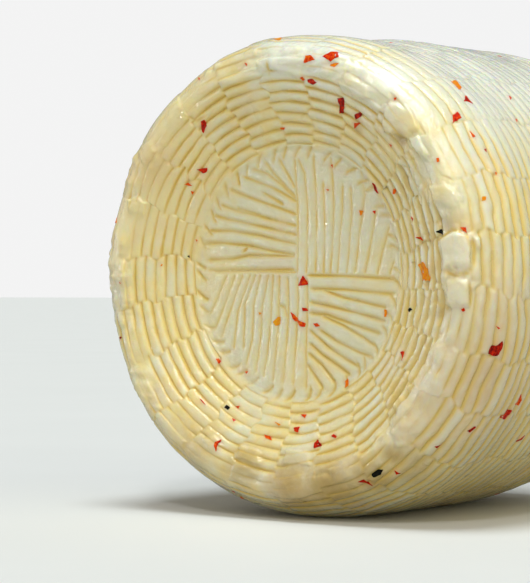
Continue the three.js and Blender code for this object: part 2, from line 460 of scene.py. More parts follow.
def carve(line, strength=1.0, width=1.0, fade=2.0, region=None):
    """Cuts a groove along a line of places, which fades in and out over a few mm at its ends."""
    line = np.array(line, float)
    reach = SHOULDER_WIDTH * width
    low = line.min(0) - reach
    high = line.max(0) + reach
    inside = np.all((skin > low) & (skin < high), -1)
    if region is not None:
        inside &= region
    points = skin[inside]
    if not len(points):
        return
    lengths = np.linalg.norm(np.diff(line, axis=0), axis=1)
    starts = np.concatenate([[0], np.cumsum(lengths)])
    nearest = np.full(len(points), np.inf)
    travelled = np.zeros(len(points))
    for start, end, length, before in zip(line, line[1:], lengths, starts):
        share = np.clip(((points - start) @ (end - start)) / length**2, 0, 1)
        distance = np.linalg.norm(points - start - share[:, None] * (end - start), axis=1)
        closer = distance < nearest
        nearest[closer] = distance[closer]
        travelled[closer] = (before + share * length)[closer]
    ends = np.minimum(travelled, starts[-1] - travelled)
    force = strength * (END_STRENGTH + (1 - END_STRENGTH) * ease(ends, 0, fade))
    force *= CARVED_STRENGTH + CARVED_VARIETY * smear_noise(points, CARVED_GRAIN)
    nearest = nearest / width
    cut[inside] = np.maximum(cut[inside], groove_depth(nearest, force, points, CARVED_RIBBING))
    gold_and_shade[inside] = np.maximum(gold_and_shade[inside], groove_gold_and_shade(nearest, force, 0))


# %% [markdown]
# ## The pinwheel on the flat middle
#
# Four bundles of slats meet at the middle of the disc: level ones at the upper left and lower
# right, upright ones at the other two corners. They fan out as they go, and thin wedges fill the
# gaps. The fan is uneven, so each groove is drawn by the pixels that it passes through. The back
# end came out of the same kind of basket, so it carries the same fan, turned half round.

# %% Grooves of the four bundles
UPPER_LEFT = [
    [(295, 269.5), (212, 271)],
    [(296, 256), (248, 255.5), (232, 259), (207, 260)],
    [(296, 255), (271, 251), (248, 245.5), (222, 243), (202, 243.5)],
    [(242, 252.5), (248, 246.5)],
    [(297, 244.5), (279, 240.5), (259, 235.5), (232, 231), (208, 230.5)],
    [(297, 235), (271, 229), (248, 223.5), (228, 219.5), (213, 215)],
    [(297, 226), (271, 219.5), (255, 215), (238, 211.5), (220, 204.5)],
    [(297, 215), (279, 208), (259, 201), (240, 194), (229, 189)],
    [(297, 202), (287, 196), (273, 188), (255, 181), (243, 176.5)],
    [(296, 199), (281, 184.5), (267, 173.5), (251, 168.5)],
    [(295.5, 197), (287, 189), (273, 173), (264, 161)],
    [(295, 189), (289, 178), (278, 158)],
    [(235, 208), (262, 216)],
    [(262, 192), (284, 205)],
]
UPPER_RIGHT = [
    [(297, 275), (297.5, 225), (297, 202), (295, 175), (294, 157)],
    [(306, 275), (307, 230), (306.5, 200), (304, 173), (297, 158)],
    [(315, 275), (316, 230), (315.5, 190), (313.5, 168), (313, 154)],
    [(323, 276), (324, 230), (323.5, 205), (322.5, 181)],
    [(329.5, 276), (332, 240), (333, 205), (332, 182), (330, 156)],
    [(337, 276), (339, 240), (341, 221), (342, 184)],
    [(346, 276), (349, 240), (351, 213), (350, 185)],
    [(354, 276), (358, 240), (362, 210), (364, 195), (360, 170)],
    [(364, 275), (369, 250), (374, 218), (379, 190)],
    [(377, 276), (382, 250), (389, 225)],
    [(389, 276), (395, 259)],
]
LOWER_RIGHT = [
    [(307, 275.5), (342, 276), (396, 279)],
    [(310, 289), (343, 289.5), (396, 294.5)],
    [(320, 289), (343, 297.5), (388, 308)],
    [(309, 302), (330, 306.5), (357, 313), (387, 322)],
    [(309, 313), (327, 315), (352, 324), (381, 334)],
    [(320, 315), (343, 325.5), (360, 336), (376, 347)],
    [(319, 329.5), (336, 341.5), (360, 353), (373, 358)],
    [(309, 329.5), (326, 346), (342, 357), (360, 368)],
    [(309, 343), (321, 354.5), (336, 365), (350, 376)],
    [(308, 353), (320, 364), (335, 384)],
    [(306, 363), (313, 374), (323, 390)],
]
LOWER_LEFT = [
    [(306.5, 278), (307, 310), (306, 350), (306, 390)],
    [(297, 276), (297.5, 310), (295, 348), (293, 386)],
    [(287, 276), (288, 310), (286, 348), (282, 385)],
    [(279, 274), (278, 310), (277, 338), (272, 383)],
    [(273, 273), (271, 303), (268.5, 340), (263, 378)],
    [(268.5, 273), (261.5, 307), (260, 340), (255, 374)],
    [(261, 273), (253, 306), (251.5, 340), (245, 367)],
    [(256, 273), (244, 306), (243, 350)],
    [(251, 273), (237, 312), (233, 350)],
    [(243, 273), (229, 312), (220, 340)],
    [(235, 274), (222, 310), (214, 330)],
    [(227, 274), (214, 305), (209, 315)],
    [(277, 305), (284, 307), (287, 319)],
    [(207, 270), (250, 271.5), (297, 272)],
]
# the upright bundles are printed more faintly than the level ones
BUNDLES = [(UPPER_LEFT, 0.95), (UPPER_RIGHT, 0.6), (LOWER_RIGHT, 1), (LOWER_LEFT, 0.65)]
HALF_ROUND = np.array([-1, -1, 1])
# a groove may run past the disc's edge by this much
PAST_EDGE = 4

front_disc = run < PAST_EDGE
back_disc = run > 2 * HALF_RUN - PAST_EDGE

for bundle, strength in BUNDLES:
    for pixels in bundle:
        line = np.array([place_of(pixel) for pixel in pixels])
        carve(line, strength, region=front_disc)
        carve(line * HALF_ROUND + [2 * AXIS_SIDE, 0, BACK_RISE], strength, region=back_disc)
print("deepest groove of the pinwheel, mm:", round(cut.max(), 2))

# %% [markdown]
# Between the pinwheel and the band the slats of the basket turn over its inner hoop. That leaves
# a ring of short hooked strokes, which a loop draws with a little unevenness in each.

# %% Hooked strokes round the disc
HOOKS = 46
HOOK_INNER = -4.5
HOOK_OUTER = 2.2
HOOK_SWEEP = 0.075
HOOK_POINTS = 5

hook_draw = np.random.default_rng(11)
for on_back in (False, True):
    for hook in range(HOOKS):
        turn = (hook + hook_draw.uniform(-0.2, 0.2)) / HOOKS * 2 * math.pi
        share = np.linspace(0, 1, HOOK_POINTS)
        hook_run = HOOK_INNER + (HOOK_OUTER - HOOK_INNER) * share + hook_draw.uniform(-0.6, 0.6)
        hook_turn = turn + HOOK_SWEEP * share**2 * hook_draw.uniform(0.6, 1.4)
        if on_back:
            hook_run = 2 * HALF_RUN - hook_run
        carve(body_place(hook_run, hook_turn), strength=hook_draw.uniform(0.55, 0.95))
print("grooves reach", round(float((cut > 0).mean()), 3), "of the skin's points")

# %% [markdown]
# ## The woven rows
#
# On the band, the lip and the wall the slats lie in rings. Two neighbouring sectors are half a row
# apart, as in any weave. A mesh of separate slats would leave gaps, so the rings are worked out as
# numbers on the one skin: two patterns of rings, of which each sector takes one. At a joint both
# slats dip and their grooves taper out.

# %% Which rows and sectors
# one pattern gives way to the other within this many mm of a joint
JOINT_BLEND = 0.45
ROW_JITTER = 0.42
JITTER_GRAIN = 14
# far enough apart in the noise that two neighbouring sectors have nothing in common
SECTOR_SHIFT = 40

wave = np.sin(weave_turn / SECTOR_TURN * math.pi)
from_joint = np.abs(wave) / math.pi * SECTOR_TURN * body_radius
takes_even = 0.5 + 0.5 * np.clip(np.sign(wave) * from_joint / JOINT_BLEND, -1, 1)

lip_row = BAND_ROWS + LIP_ROWS
row_marks = [0, lip_row, lip_row + WALL_ROWS, 2 * lip_row + WALL_ROWS]
jitter = ROW_JITTER * slat_noise(even_place + SECTOR_SHIFT * np.sign(wave)[..., None], JITTER_GRAIN)
row_place = np.interp(run + jitter, [0, wall_start, wall_end, 2 * HALF_RUN], row_marks)
sector_place = weave_turn / SECTOR_TURN
print("rows on the wall:", WALL_ROWS, "pitch, mm:", round(wall_pitch, 2))

# %% [markdown]
# No two slats pressed equally deep, so each slat has a height of its own from a seeded table. The
# step from one height to the next is hidden in the groove between the two slats.

# %% Heights of the slats
# one height gives way to the next within this share of a row from the groove
LEVEL_STEP = 0.09
level_draw = np.random.default_rng(8)


def slat_levels(rows_along, sectors_along):
    """A height from -1 to 1 for each slat of one pattern, with steps only across the grooves."""
    levels = level_draw.uniform(-1, 1, (row_marks[-1] + 4, SECTORS // 2))
    groove = np.round(rows_along).astype(int)
    sector = np.round(sectors_along / 2).astype(int) % (SECTORS // 2)
    below = levels[groove, sector]
    above = levels[groove + 1, sector]
    return below + (above - below) * ease(rows_along - groove, -LEVEL_STEP, LEVEL_STEP)


level = takes_even * slat_levels(row_place, sector_place - 0.5)
level += (1 - takes_even) * slat_levels(row_place + 0.5, sector_place - 1.5)
print("slat heights run from", round(level.min(), 2), "to", round(level.max(), 2))

# %% [markdown]
# The print isn't equally clear all over. It is rubbed smooth in places, and the lip swelled out of
# the basket's grip, so that only patches of rows are left on it. The top of the wall, where it faces
# up, has a shallow print and is later painted white as painted light, and at the right of the band
# the slats are crumpled round ribs. Each of these is a soft map over the skin, from noise and from
# spots at the pixels that show them.

# %% Spots with another print
# places where the print is rubbed smooth: the pixel, the size in mm and how much is left of it
RUBBED = [
    ((300, 463), 12, 0.2),
    ((345, 468), 10, 0.3),
    ((250, 450), 9, 0.3),
    ((395, 440), 8, 0.4),
    ((455, 252), 8, 0.0),
    ((459, 293), 8, 0.0),
    ((415, 115), 9, 0.1),
    ((430, 175), 8, 0.2),
    ((335, 165), 9, 0.45),
    ((250, 300), 7, 0.5),
    ((440, 340), 8, 0.3),
    ((425, 385), 8, 0.4),
    ((310, 50), 12, 0.3),
    ((150, 150), 10, 0.3),
    ((405, 75), 16, 0.25),
    ((440, 125), 12, 0.5),
    ((470, 170), 9, 0.5),
]
# pixel, size and strength of the places where the slats are round ribs without a sharp cut
RIBBED = [
    ((428, 225), 20, 1),
    ((432, 285), 20, 1),
    ((425, 340), 18, 1),
    ((405, 180), 12, 1),
    ((400, 400), 12, 1),
]

ribbed = spotted(RIBBED)
print("ribbed share of the skin:", round(float((ribbed > 0.3).mean()), 3))

# %% Where the print is strong
LIP_PRINT = 0.45
# heights of the slats above or below their mean, in mm, and of those on the lip
LEVEL_HEIGHT = 0.2
LIP_LEVEL_HEIGHT = 0.5
RAGGED = 2.5
RAGGED_GRAIN = 9
PATCH_GRAIN = 11
SMEAR_LAYERS = [(0.55, 16, 0), (0.35, 5, 60)]
LEAST_PRINT = 0.2
MOST_PRINT = 1.2

# the lip's edges are ragged, and its rows are left in patches
ragged = near_run + RAGGED * smear_noise(even_place + 100, RAGGED_GRAIN)
smooth_lip = ease(ragged, band_end - 1, band_end + 3)
smooth_lip *= 1 - ease(ragged, wall_start - 5, wall_start + 4)
lip_patches = np.clip(0.5 + 1.3 * smear_noise(even_place + 800, PATCH_GRAIN), 0, 1.5)
on_rows = ease(near_run, 2.2, 3.6) * (1 - smooth_lip * (1 - LIP_PRINT * lip_patches))
# everywhere the print is a little smeared, and in the rubbed places nearly gone
smear = np.clip(0.95 + layered(smear_noise, skin, SMEAR_LAYERS), LEAST_PRINT, MOST_PRINT)
for pixel, size, left in RUBBED:
    smear *= 1 - (1 - left) * spot(pixel, size)
level_height = LEVEL_HEIGHT + (LIP_LEVEL_HEIGHT - LEVEL_HEIGHT) * smooth_lip
level_height = ease(near_run, 2.2, 5) * level_height * np.minimum(smear + LEAST_PRINT, 1)
# the top of the wall, where it faces up: its print is shallow, and its colour is painted white as painted
# light
top_facing_up = ease(skin_out[..., 2], 0.25, 0.75) * ease(near_run, wall_start + 6, wall_start + 30)
print("print's mean strength on the rows:", round(float((on_rows * smear)[on_rows > 0].mean()), 2))

# %% [markdown]
# Now the rows are cut, as strongly as the maps say. Each point is as deep as its way from the
# nearest groove of its sector's pattern tells. Near a joint the grooves are weaker, and both slats
# dip a little. The round ribs are crumpled by creases that run across the rows.

# %% Cut the rows
JOINT_DIP = 0.3
JOINT_DIP_WIDTH = 0.9
JOINT_FADE = 0.25
JOINT_FADE_WIDTH = 1.2
# how much the print fades and softens on the upward-facing top of the wall
TOP_PRINT_FADE = 0.4
TOP_PRINT_SOFTNESS = 0.8
CREASE_DEPTH = 0.6
CREASE_GRAIN = 5
CREASE_WIDTH = 0.16
# below 1, so that the creases are longer along the run than round the wheel
CREASE_STRETCH = 0.35

row_strength = on_rows * smear * (1 - JOINT_FADE * bell(from_joint / JOINT_FADE_WIDTH))
row_strength *= 1 - TOP_PRINT_FADE * top_facing_up
sharpness = 1 - TOP_PRINT_SOFTNESS * top_facing_up
row_cut = np.zeros(run.shape)
row_gold_and_shade = np.zeros(run.shape)
for shift, share in ((0, takes_even), (0.5, 1 - takes_even)):
    from_groove = np.abs(row_place + shift - np.round(row_place + shift)) * ROW_PITCH
    row_cut += share * groove_depth(from_groove, row_strength, skin, ribbed, sharpness)
    row_gold_and_shade += share * groove_gold_and_shade(from_groove, row_strength, ribbed)
joint_cut = JOINT_DIP * bell(from_joint / JOINT_DIP_WIDTH) * on_rows * smear
cut = np.maximum(cut, row_cut + joint_cut)
gold_and_shade = np.maximum(gold_and_shade, row_gold_and_shade)

from_axis = [body_radius * np.sin(weave_turn), body_radius * np.cos(weave_turn)]
across_rows = np.stack([CREASE_STRETCH * run, *from_axis], -1)
creases = bell(lump_noise(across_rows + 600, CREASE_GRAIN) / CREASE_WIDTH)
cut += CREASE_DEPTH * ribbed * on_rows * creases
print("deepest place of the print, mm:", round(cut.max(), 2))

# %% [markdown]
# The thin cuts are coloured gold, partly a real yellowing and partly painted shade in the groove.
# The gold is patchy, weaker on the wall, and left out on the upward-facing top of it, which is
# painted white as painted light. Slats that pressed less deep stayed wet longer, and are steeped
# yellow, as is the lip a little, and a few spots at the upper left get more of this yellow as
# painted warm light. Both are kept as values from 0 to 1 at each point, so that the material can
# colour by them.

# %% Gold with painted groove shade, and steeped slats
GOLD_GRAIN = 12
STEEP_GRAIN = 9
BUTTER_SPOT_STRENGTH = 0.5
# pixel, and size in mm of spots with more butter yellow: the two at the upper left are painted warm
# light, the two at the lower left the wettest places
STEEPED_AND_LIT_SPOTS = [((155, 180), 30), ((200, 110), 25), ((260, 440), 20), ((200, 420), 20)]

on_wall = ease(near_run, wall_start - 4, wall_start + 10)
gold_and_shade *= np.clip(0.8 + 0.9 * smear_noise(skin + 300, GOLD_GRAIN), 0.2, 1.1)
gold_and_shade *= (1 - 0.3 * on_wall) * (1 - 0.8 * top_facing_up)

steeped_and_lit = 0.45 - 0.45 * level + 0.9 * smear_noise(skin + 500, STEEP_GRAIN) + 0.1 * smooth_lip
for pixel, size in STEEPED_AND_LIT_SPOTS:
    steeped_and_lit += BUTTER_SPOT_STRENGTH * spot(pixel, size)
steeped_and_lit = np.clip(steeped_and_lit, 0, 1) * ease(near_run, -2, 4) * (1 - top_facing_up) * (1 - 0.5 * on_wall)
print("mean of gold and of steeped:", round(float(gold_and_shade.mean()), 3), round(float(steeped_and_lit.mean()), 3))

# %% [markdown]
# ## The lip
#
# The lip is where the basket's rim let the curd swell: a thick bead with soft lumps. In the
# picture it has torn blocks, pits and cracks of its own. A block is a flat patch of the skin that
# stands up with a sharp edge, so it is drawn by the pixels of its corners. To tell which points
# lie inside them, corners and points are both laid out on a plane that touches the skin there.


# %% A flat frame on the skin
def flat_frame(place):
    """The way the body faces at a place, and two directions across it."""
    facing = np.array(coarse_body.find_nearest(Vector(place))[1])
    facing *= np.sign((place - middle) @ facing)
    across = np.cross(facing, [0.0, 0.6, 0.8])
    across /= np.linalg.norm(across)
    return facing, across, np.cross(facing, across)


def flatten(places, centre, across, up):
    """Places as two distances from a centre, along the two directions across."""
    spread = places - centre
    return np.stack([spread @ across, spread @ up], -1)


def anticlockwise(corners):
    """Flat corners in the order that goes round to the left."""
    after = np.roll(corners, -1, 0)
    area = (corners[:, 0] * after[:, 1] - corners[:, 1] * after[:, 0]).sum()
    return corners if area > 0 else corners[::-1]


print("the disc's middle faces", flat_frame(place_of(DISC_MIDDLE))[0].round(2).tolist())

# %% [markdown]
# The soft swellings come first, as layers of noise on the lip, on the ribs and, very gently, all
# over. The lip was torn as it came out of the basket: there the curds stand side by side with
# creases between them. Noise gives such creases where it changes sign, if the sign is left out.

# %% Soft swellings
LIP_RUN = 44
LIP_WIDTH = 9
LIP_RISE = 0.4
LIP_LAYERS = [(0.8, 17, 0), (0.6, 7, 70)]
BODY_LAYERS = [(0.5, 30, 200), (0.25, 9, 20)]
RIB_LAYERS = [(0.9, 7, 400), (0.45, 4, 450)]
CURD_HEIGHT = 1.5
TORN_GRAIN = 18

near_front_lip = bell((run - LIP_RUN) / LIP_WIDTH)
near_back_lip = bell((run - (2 * HALF_RUN - LIP_RUN)) / LIP_WIDTH)
on_lip = np.maximum(near_front_lip, near_back_lip)
swell = on_lip * (layered(lump_noise, skin, LIP_LAYERS) + LIP_RISE)
swell += layered(lump_noise, skin, BODY_LAYERS) + level_height * level
swell += ribbed * layered(lump_noise, skin, RIB_LAYERS)

curds = np.abs(smear_noise(skin + 350, 6)) + 0.6 * np.abs(smear_noise(skin + 380, 3))
torn = ease(smear_noise(skin + 370, TORN_GRAIN), -0.35, 0.25)
swell += CURD_HEIGHT * curds * torn * smooth_lip
print("soft swellings, mm:", round(swell.min(), 2), "to", round(swell.max(), 2))

# %% [markdown]
# Then come the lumps, pits, blocks and cracks that can be made out one by one in the picture. Each
# has its pixels, and its height or depth in mm. They could be sculpted by hand, but a list can be
# corrected mark by mark.

# %% Places of lumps, pits, blocks and cracks
LUMPS = [
    ((437, 200), 8, 0.9),
    ((345, 92), 8, 0.7),
    ((300, 462), 10, 0.9),
    ((345, 470), 8, 0.7),
    ((230, 436), 8, 0.7),
    ((210, 100), 9, 0.6),
    ((262, 46), 19, 1.7),
    ((225, 58), 15, 1.0),
]
PITS = [
    ((400, 140), 5, 1.0),
    ((392, 455), 8, 1.2),
    ((446, 227), 5, 0.8),
    ((458, 273), 3, 0.5),
    ((440, 312), 7, 1.0),
    ((404, 170), 5, 0.8),
    ((137, 196), 4, 1.0),
]
BLOCKS = [
    ([(443, 238), (458, 231), (470, 239), (471, 266), (447, 268)], 1.8),
    ([(449, 281), (458, 278), (468, 281), (469, 306), (450, 305)], 1.1),
    ([(384, 120), (390, 104), (412, 108), (419, 130), (404, 138), (386, 132)], 1.6),
    ([(410, 138), (419, 136), (428, 152), (427, 158), (417, 152)], 1.1),
    ([(431, 187), (446, 184), (462, 198), (455, 208), (438, 203)], 0.9),
    ([(473, 238), (480, 236), (481, 248), (474, 250)], 1.0),
    ([(205, 440), (216, 436), (224, 446), (212, 452)], 0.9),
    ([(240, 446), (262, 452), (260, 464), (238, 458)], 0.9),
    ([(286, 450), (310, 452), (311, 465), (285, 464)], 0.8),
    ([(330, 470), (346, 463), (352, 475), (338, 482)], 0.8),
    ([(393, 405), (402, 396), (412, 408), (402, 418)], 0.8),
    ([(141, 152), (151, 140), (157, 152), (147, 166)], 0.6),
    ([(128, 201), (137, 196), (146, 203), (144, 214), (128, 212)], 0.9),
    ([(250, 40), (275, 37), (278, 50), (252, 54)], 0.5),
    ([(352, 80), (368, 84), (372, 98), (356, 96)], 0.7),
]
CRACKS = [
    [(270, 60), (270, 74)],
    [(432, 300), (441, 305), (450, 309)],
    [(186, 116), (196, 121), (204, 117)],
    [(436, 241), (444, 237), (452, 230), (462, 231)],
    [(446, 270), (455, 275), (465, 274), (473, 268)],
    [(472, 238), (474, 252), (473, 268)],
    [(469, 281), (470.5, 294), (470, 307)],
]
print(len(LUMPS), "lumps,", len(PITS), "pits,", len(BLOCKS), "blocks and", len(CRACKS), "cracks")

# %% [markdown]
# A lump or a pit is a soft spot that is added or taken away. A crack is a short carved groove. A
# block is lifted inside its ring of corners: a point's way in from the nearest side tells whether
# it stands on the block, and a little noise makes the torn edge ragged.

# %% Lumps, pits, blocks and cracks
BLOCK_EDGE = 0.6
BLOCK_FLATNESS = 0.75
BLOCK_RAGGED = 0.7
BLOCK_GRAIN = 3
BLOCK_PRINT_LOST = 0.6


def raise_block(pixels, height):
    """Raises the skin inside a ring of pixels, with a flat top and a sharp edge."""
    corners = np.array([place_of(pixel) for pixel in pixels])
    centre = corners.mean(0)
    facing, across, up = flat_frame(centre)
    flat = anticlockwise(flatten(corners, centre, across, up))
    reach = np.linalg.norm(flat, axis=1).max() + 2
    close = np.linalg.norm(skin - centre, axis=-1) < reach
    points = flatten(skin[close], centre, across, up)
    inside = np.full(len(points), np.inf)
    for start, end in zip(flat, np.roll(flat, -1, 0)):
        along = (end - start) / np.linalg.norm(end - start)
        offset = points - start
        inside = np.minimum(inside, along[0] * offset[:, 1] - along[1] * offset[:, 0])
    inside += BLOCK_RAGGED * smear_noise(skin[close], BLOCK_GRAIN)
    topped = ease(inside, -BLOCK_EDGE, BLOCK_EDGE)
    level_top = np.median(swell[close][topped > 0.5])
    swell[close] += topped * (height + BLOCK_FLATNESS * (level_top - swell[close]))
    cut[close] *= 1 - BLOCK_PRINT_LOST * ease(inside, 0, 1)


for pixel, size, height in LUMPS:
    swell += height * spot(pixel, size)
for pixel, size, depth in PITS:
    swell -= depth * spot(pixel, size)
for pixels, height in BLOCKS:
    raise_block(pixels, height)
for pixels in CRACKS:
    carve([place_of(pixel) for pixel in pixels], strength=0.9, width=1.1, fade=3)
print("lip swells by, mm:", round(swell.min(), 2), "to", round(swell.max(), 2))

# %% [markdown]
# ## Where the flakes lie
#
# Each flake that can be seen is drawn by the pixels of its corners, and those are cast onto the
# cheese. The same cheese has flakes all over, so the sides that the picture hides get flakes too,
# with shapes and places from a seeded generator, as many to a square centimetre as in front. Oil
# from a flake stains the cheese round it a little, so the places are needed before the skin.

# %% Flakes seen in the picture
RED_FLAKES = [
    [(305, 64), (306.5, 56), (311.5, 55), (316, 60)],
    [(324, 58.5), (332, 54), (340, 54.5), (341, 59), (332, 64)],
    [(300, 78), (302.5, 76.5), (305, 79.5), (303, 81)],
    [(354, 123), (360, 123), (354.5, 129)],
    [(197, 169.5), (208, 167.5), (207, 172), (203, 173.5)],
    [(184, 184.5), (188, 183), (192.5, 186), (188.5, 186)],
    [(453, 114.5), (457.5, 111.5), (462, 117), (453, 122.5)],
    [(470, 129.5), (476, 136), (473.5, 136.5)],
    [(460, 227), (466, 227.5), (467, 233), (463, 231)],
    [(416, 237), (420, 237), (421.5, 241)],
    [(303, 275), (308.5, 284.5), (297.5, 286)],
    [(290.5, 312), (294, 314), (297.5, 319), (296, 322), (293, 319)],
    [(296, 319), (306, 323.5), (305, 327), (300, 326.5)],
    [(313.5, 323.5), (317.5, 323), (320.5, 326), (316, 327)],
    [(215.5, 358.5), (218, 358), (221, 361), (218, 363.5)],
    [(244, 371.5), (248, 371), (246, 374)],
    [(300, 414), (306.5, 414), (304.5, 418)],
    [(293.5, 427.5), (300, 426.5), (297, 432), (294, 431)],
    [(264, 434.5), (270, 436), (272.5, 441), (265.5, 438)],
    [(330.5, 436), (333, 433.5), (336.5, 436), (334.5, 438)],
    [(217, 442.5), (223, 440), (219, 447), (217.5, 453), (216, 446.5)],
    [(199, 398), (201, 399), (206, 405), (203, 403)],
    [(235, 406), (240, 406), (238, 408.5)],
    [(232, 418), (236, 420), (234, 422)],
    [(461, 309.5), (464, 307.5), (465.5, 310.5), (463, 312)],
    [(514.5, 404), (520, 400.5), (522.5, 395), (522.5, 400), (519, 406)],
    [(394, 98), (397.5, 98), (395, 101)],
    [(330, 165), (332, 164), (332, 168)],
    [(372, 211), (375, 210.5), (374, 214)],
    [(411, 216), (413, 218), (413, 222)],
    [(484.5, 149), (487, 148), (487, 152)],
    [(515, 119), (517.5, 119), (517, 122)],
    [(509, 95), (512, 97.5), (511, 99)],
    [(496.5, 326), (500, 328), (498.5, 329.5)],
    [(199, 78), (201, 79), (200, 81)],
    [(400.5, 352), (403, 351), (402.5, 362)],
]
DARK_FLAKES = [
    [(307.5, 79.5), (312, 78.5), (317.5, 82.5), (314, 85), (308, 82)],
    [(338, 98), (345, 97), (345, 103.5), (343.5, 113), (339.5, 113.5), (340, 105)],
    [(354.5, 114.5), (360, 112), (362, 116), (355.5, 120)],
    [(200, 122), (204, 120), (206, 126), (203, 134), (200.5, 130.5)],
    [(372, 183), (374.5, 184), (378, 194), (373.5, 190)],
    [(465.5, 95), (468.5, 98.5), (473, 103.5), (464.5, 100)],
    [(302, 307.5), (306, 308), (308, 311), (303, 311)],
    [(317.5, 439), (321.5, 445.5), (314, 449), (314.5, 443)],
    [(487.5, 353), (490.5, 345), (496.5, 346), (503, 340), (502.5, 347), (496.5, 357), (492.5, 356)],
    [(500, 418), (508, 411), (511.5, 409.5), (511, 413.5), (506, 419.5)],
    [(467, 430.5), (475, 425.5), (475.5, 427.5), (469, 432)],
    [(434, 446), (440.5, 445), (437, 448)],
    [(394.5, 471), (401, 473), (396, 474)],
    [(357, 481.5), (363.5, 479), (373, 485.5), (365.5, 483)],
    [(517, 443), (526, 435), (522, 440)],
]
ORANGE_FLAKES = [
    [(451, 81), (456, 80.5), (462, 88), (459, 89.5)],
    [(331, 66), (336, 64), (341, 64), (336, 68)],
    [(436.5, 158), (439.5, 158), (440, 162), (437.5, 162.5)],
    [(482, 196.5), (486, 196.5), (485.5, 200.5), (482, 201)],
    [(417.5, 264), (423, 260.5), (429, 277), (428, 281), (423, 281.5)],
    [(358.5, 210), (362.5, 211), (360, 216)],
    [(272.5, 322), (277.5, 316.5), (280.5, 317), (280, 324.5), (275, 326)],
    [(344, 380.5), (346, 377.5), (348, 386), (344, 387)],
    [(385, 309), (387.5, 310), (387, 317), (385, 316.5)],
    [(275, 422), (281, 424.5), (279, 426)],
    [(393, 189), (395, 188), (395, 194), (393, 194)],
    [(274, 40.5), (282, 39.5), (281, 42.5), (276, 42.5)],
    [(279, 128), (285, 127.5), (284, 130), (280, 130)],
    [(325.5, 189), (329, 189.5), (328, 191)],
    [(190.5, 191), (194, 192), (192, 195)],
    [(495.5, 171.5), (498, 172), (497, 175)],
    [(388.5, 144), (391.5, 145), (390.5, 148)],
    [(245.5, 63), (248.5, 64), (248, 67)],
    [(195, 239), (197.5, 240), (196.5, 242)],
    [(258, 312), (260.5, 313), (259.5, 315)],
]
PEPPER_FLAKES = [
    [(224, 407.5), (226.5, 404.5), (230.5, 407.5), (228, 410)],
    [(408, 310), (410.5, 307.5), (412, 309.5), (409.5, 312)],
    [(370.5, 475), (376.5, 470), (383.5, 469.5), (381, 474), (373.5, 477.5)],
    [(436.5, 232), (439.5, 229), (443, 235.5)],
]
seen_flakes = {"chili_red": RED_FLAKES, "chili_dark": DARK_FLAKES}
seen_flakes.update({"chili_orange": ORANGE_FLAKES, "pepper": PEPPER_FLAKES})
print("flakes that show:", {kind: len(shapes) for kind, shapes in seen_flakes.items()})

# %% [markdown]
# The scattered flakes go only where the picture shows nothing: on points that face away from the
# camera, or lie past the picture's edge or in its hidden lower left. A point stands for more skin
# where the grid is wide, so each one is as likely to be chosen as its share of the skin is large.

# %% Where the picture shows nothing
# the skin shows where it faces the camera by more than this
LEAST_FACING = 0.12
# left of and below these pixels the wheel is hidden
HIDDEN_ACROSS = 195
HIDDEN_DOWN = 200
LOWEST_FLAKE = 3

to_camera = CAMERA_PLACE - skin
to_camera /= np.linalg.norm(to_camera, axis=-1, keepdims=True)
facing_camera = (skin_out * to_camera).sum(-1)
offset = skin - CAMERA_PLACE
distance_off = offset @ sight
pixel_across = PICTURE_WIDTH / 2 + FOCAL_PIXELS * (offset @ rightward) / distance_off
pixel_down = PICTURE_HEIGHT / 2 - FOCAL_PIXELS * (offset @ upward) / distance_off
covered = (pixel_across < HIDDEN_ACROSS) & (pixel_down > HIDDEN_DOWN)
in_picture = (facing_camera > LEAST_FACING) & (pixel_across < PICTURE_WIDTH) & ~covered
along_step = np.linalg.norm(np.gradient(skin, axis=0), axis=-1)
round_step = np.linalg.norm(np.roll(skin, -1, 1) - skin, axis=-1)
free_area = (along_step * round_step * ~in_picture * (skin[..., 2] > LOWEST_FLAKE)).ravel()
print("free skin, square cm:", round(free_area.sum() / 2 / 100))

# %% [markdown]
# A flake is kept as flat corners round its middle, whether they were cast from pixels or drawn at
# random, so that one function can make them all into chips later. The random ones have from 3 to 6
# corners and are often slim, as crushed chili is, and small ones are more common than large ones.

# %% Cast the seen flakes and scatter the rest
HIDDEN_FLAKES = {"chili_red": 85, "chili_dark": 40, "chili_orange": 45, "pepper": 10}
FLAKE_SIZES = (0.8, 1.2, 1.7, 2.4, 3.3)
FLAKE_ODDS = (0.26, 0.28, 0.24, 0.15, 0.07)

scatter_draw = np.random.default_rng(23)


class Flake:
    """A flake's middle on the skin, the way it faces, and its corners in mm round its middle."""

    def __init__(self, corners):
        self.middle = corners.mean(0)
        self.facing, self.across, self.up = flat_frame(self.middle)
        self.corners = anticlockwise(flatten(corners, self.middle, self.across, self.up))


def scattered_corners():
    """The corners of one flake of a random shape, on a free place of the skin."""
    chosen = scatter_draw.choice(free_area.size, p=free_area / free_area.sum())
    middle = skin.reshape(-1, 3)[chosen]
    facing = skin_out.reshape(-1, 3)[chosen]
    across = np.cross(facing, scatter_draw.normal(size=3))
    across /= np.linalg.norm(across)
    up = np.cross(facing, across)
    size = scatter_draw.choice(FLAKE_SIZES, p=FLAKE_ODDS) * scatter_draw.uniform(0.85, 1.15)
    count = scatter_draw.integers(3, 7)
    turns = (np.arange(count) + scatter_draw.uniform(-0.25, 0.25, count)) / count * 2 * math.pi
    reach = size * scatter_draw.uniform(0.7, 1.2, count)
    slim = scatter_draw.uniform(0.35, 1)
    spread = np.outer(reach * np.cos(turns), across) + np.outer(reach * np.sin(turns) * slim, up)
    return middle + spread


flakes = {}
for kind, shapes in seen_flakes.items():
    flakes[kind] = [Flake(np.array([place_of(pixel) for pixel in shape])) for shape in shapes]
    flakes[kind] += [Flake(scattered_corners()) for _ in range(HIDDEN_FLAKES[kind])]
    print(kind, len(flakes[kind]), "flakes, of which", len(shapes), "show in the picture")
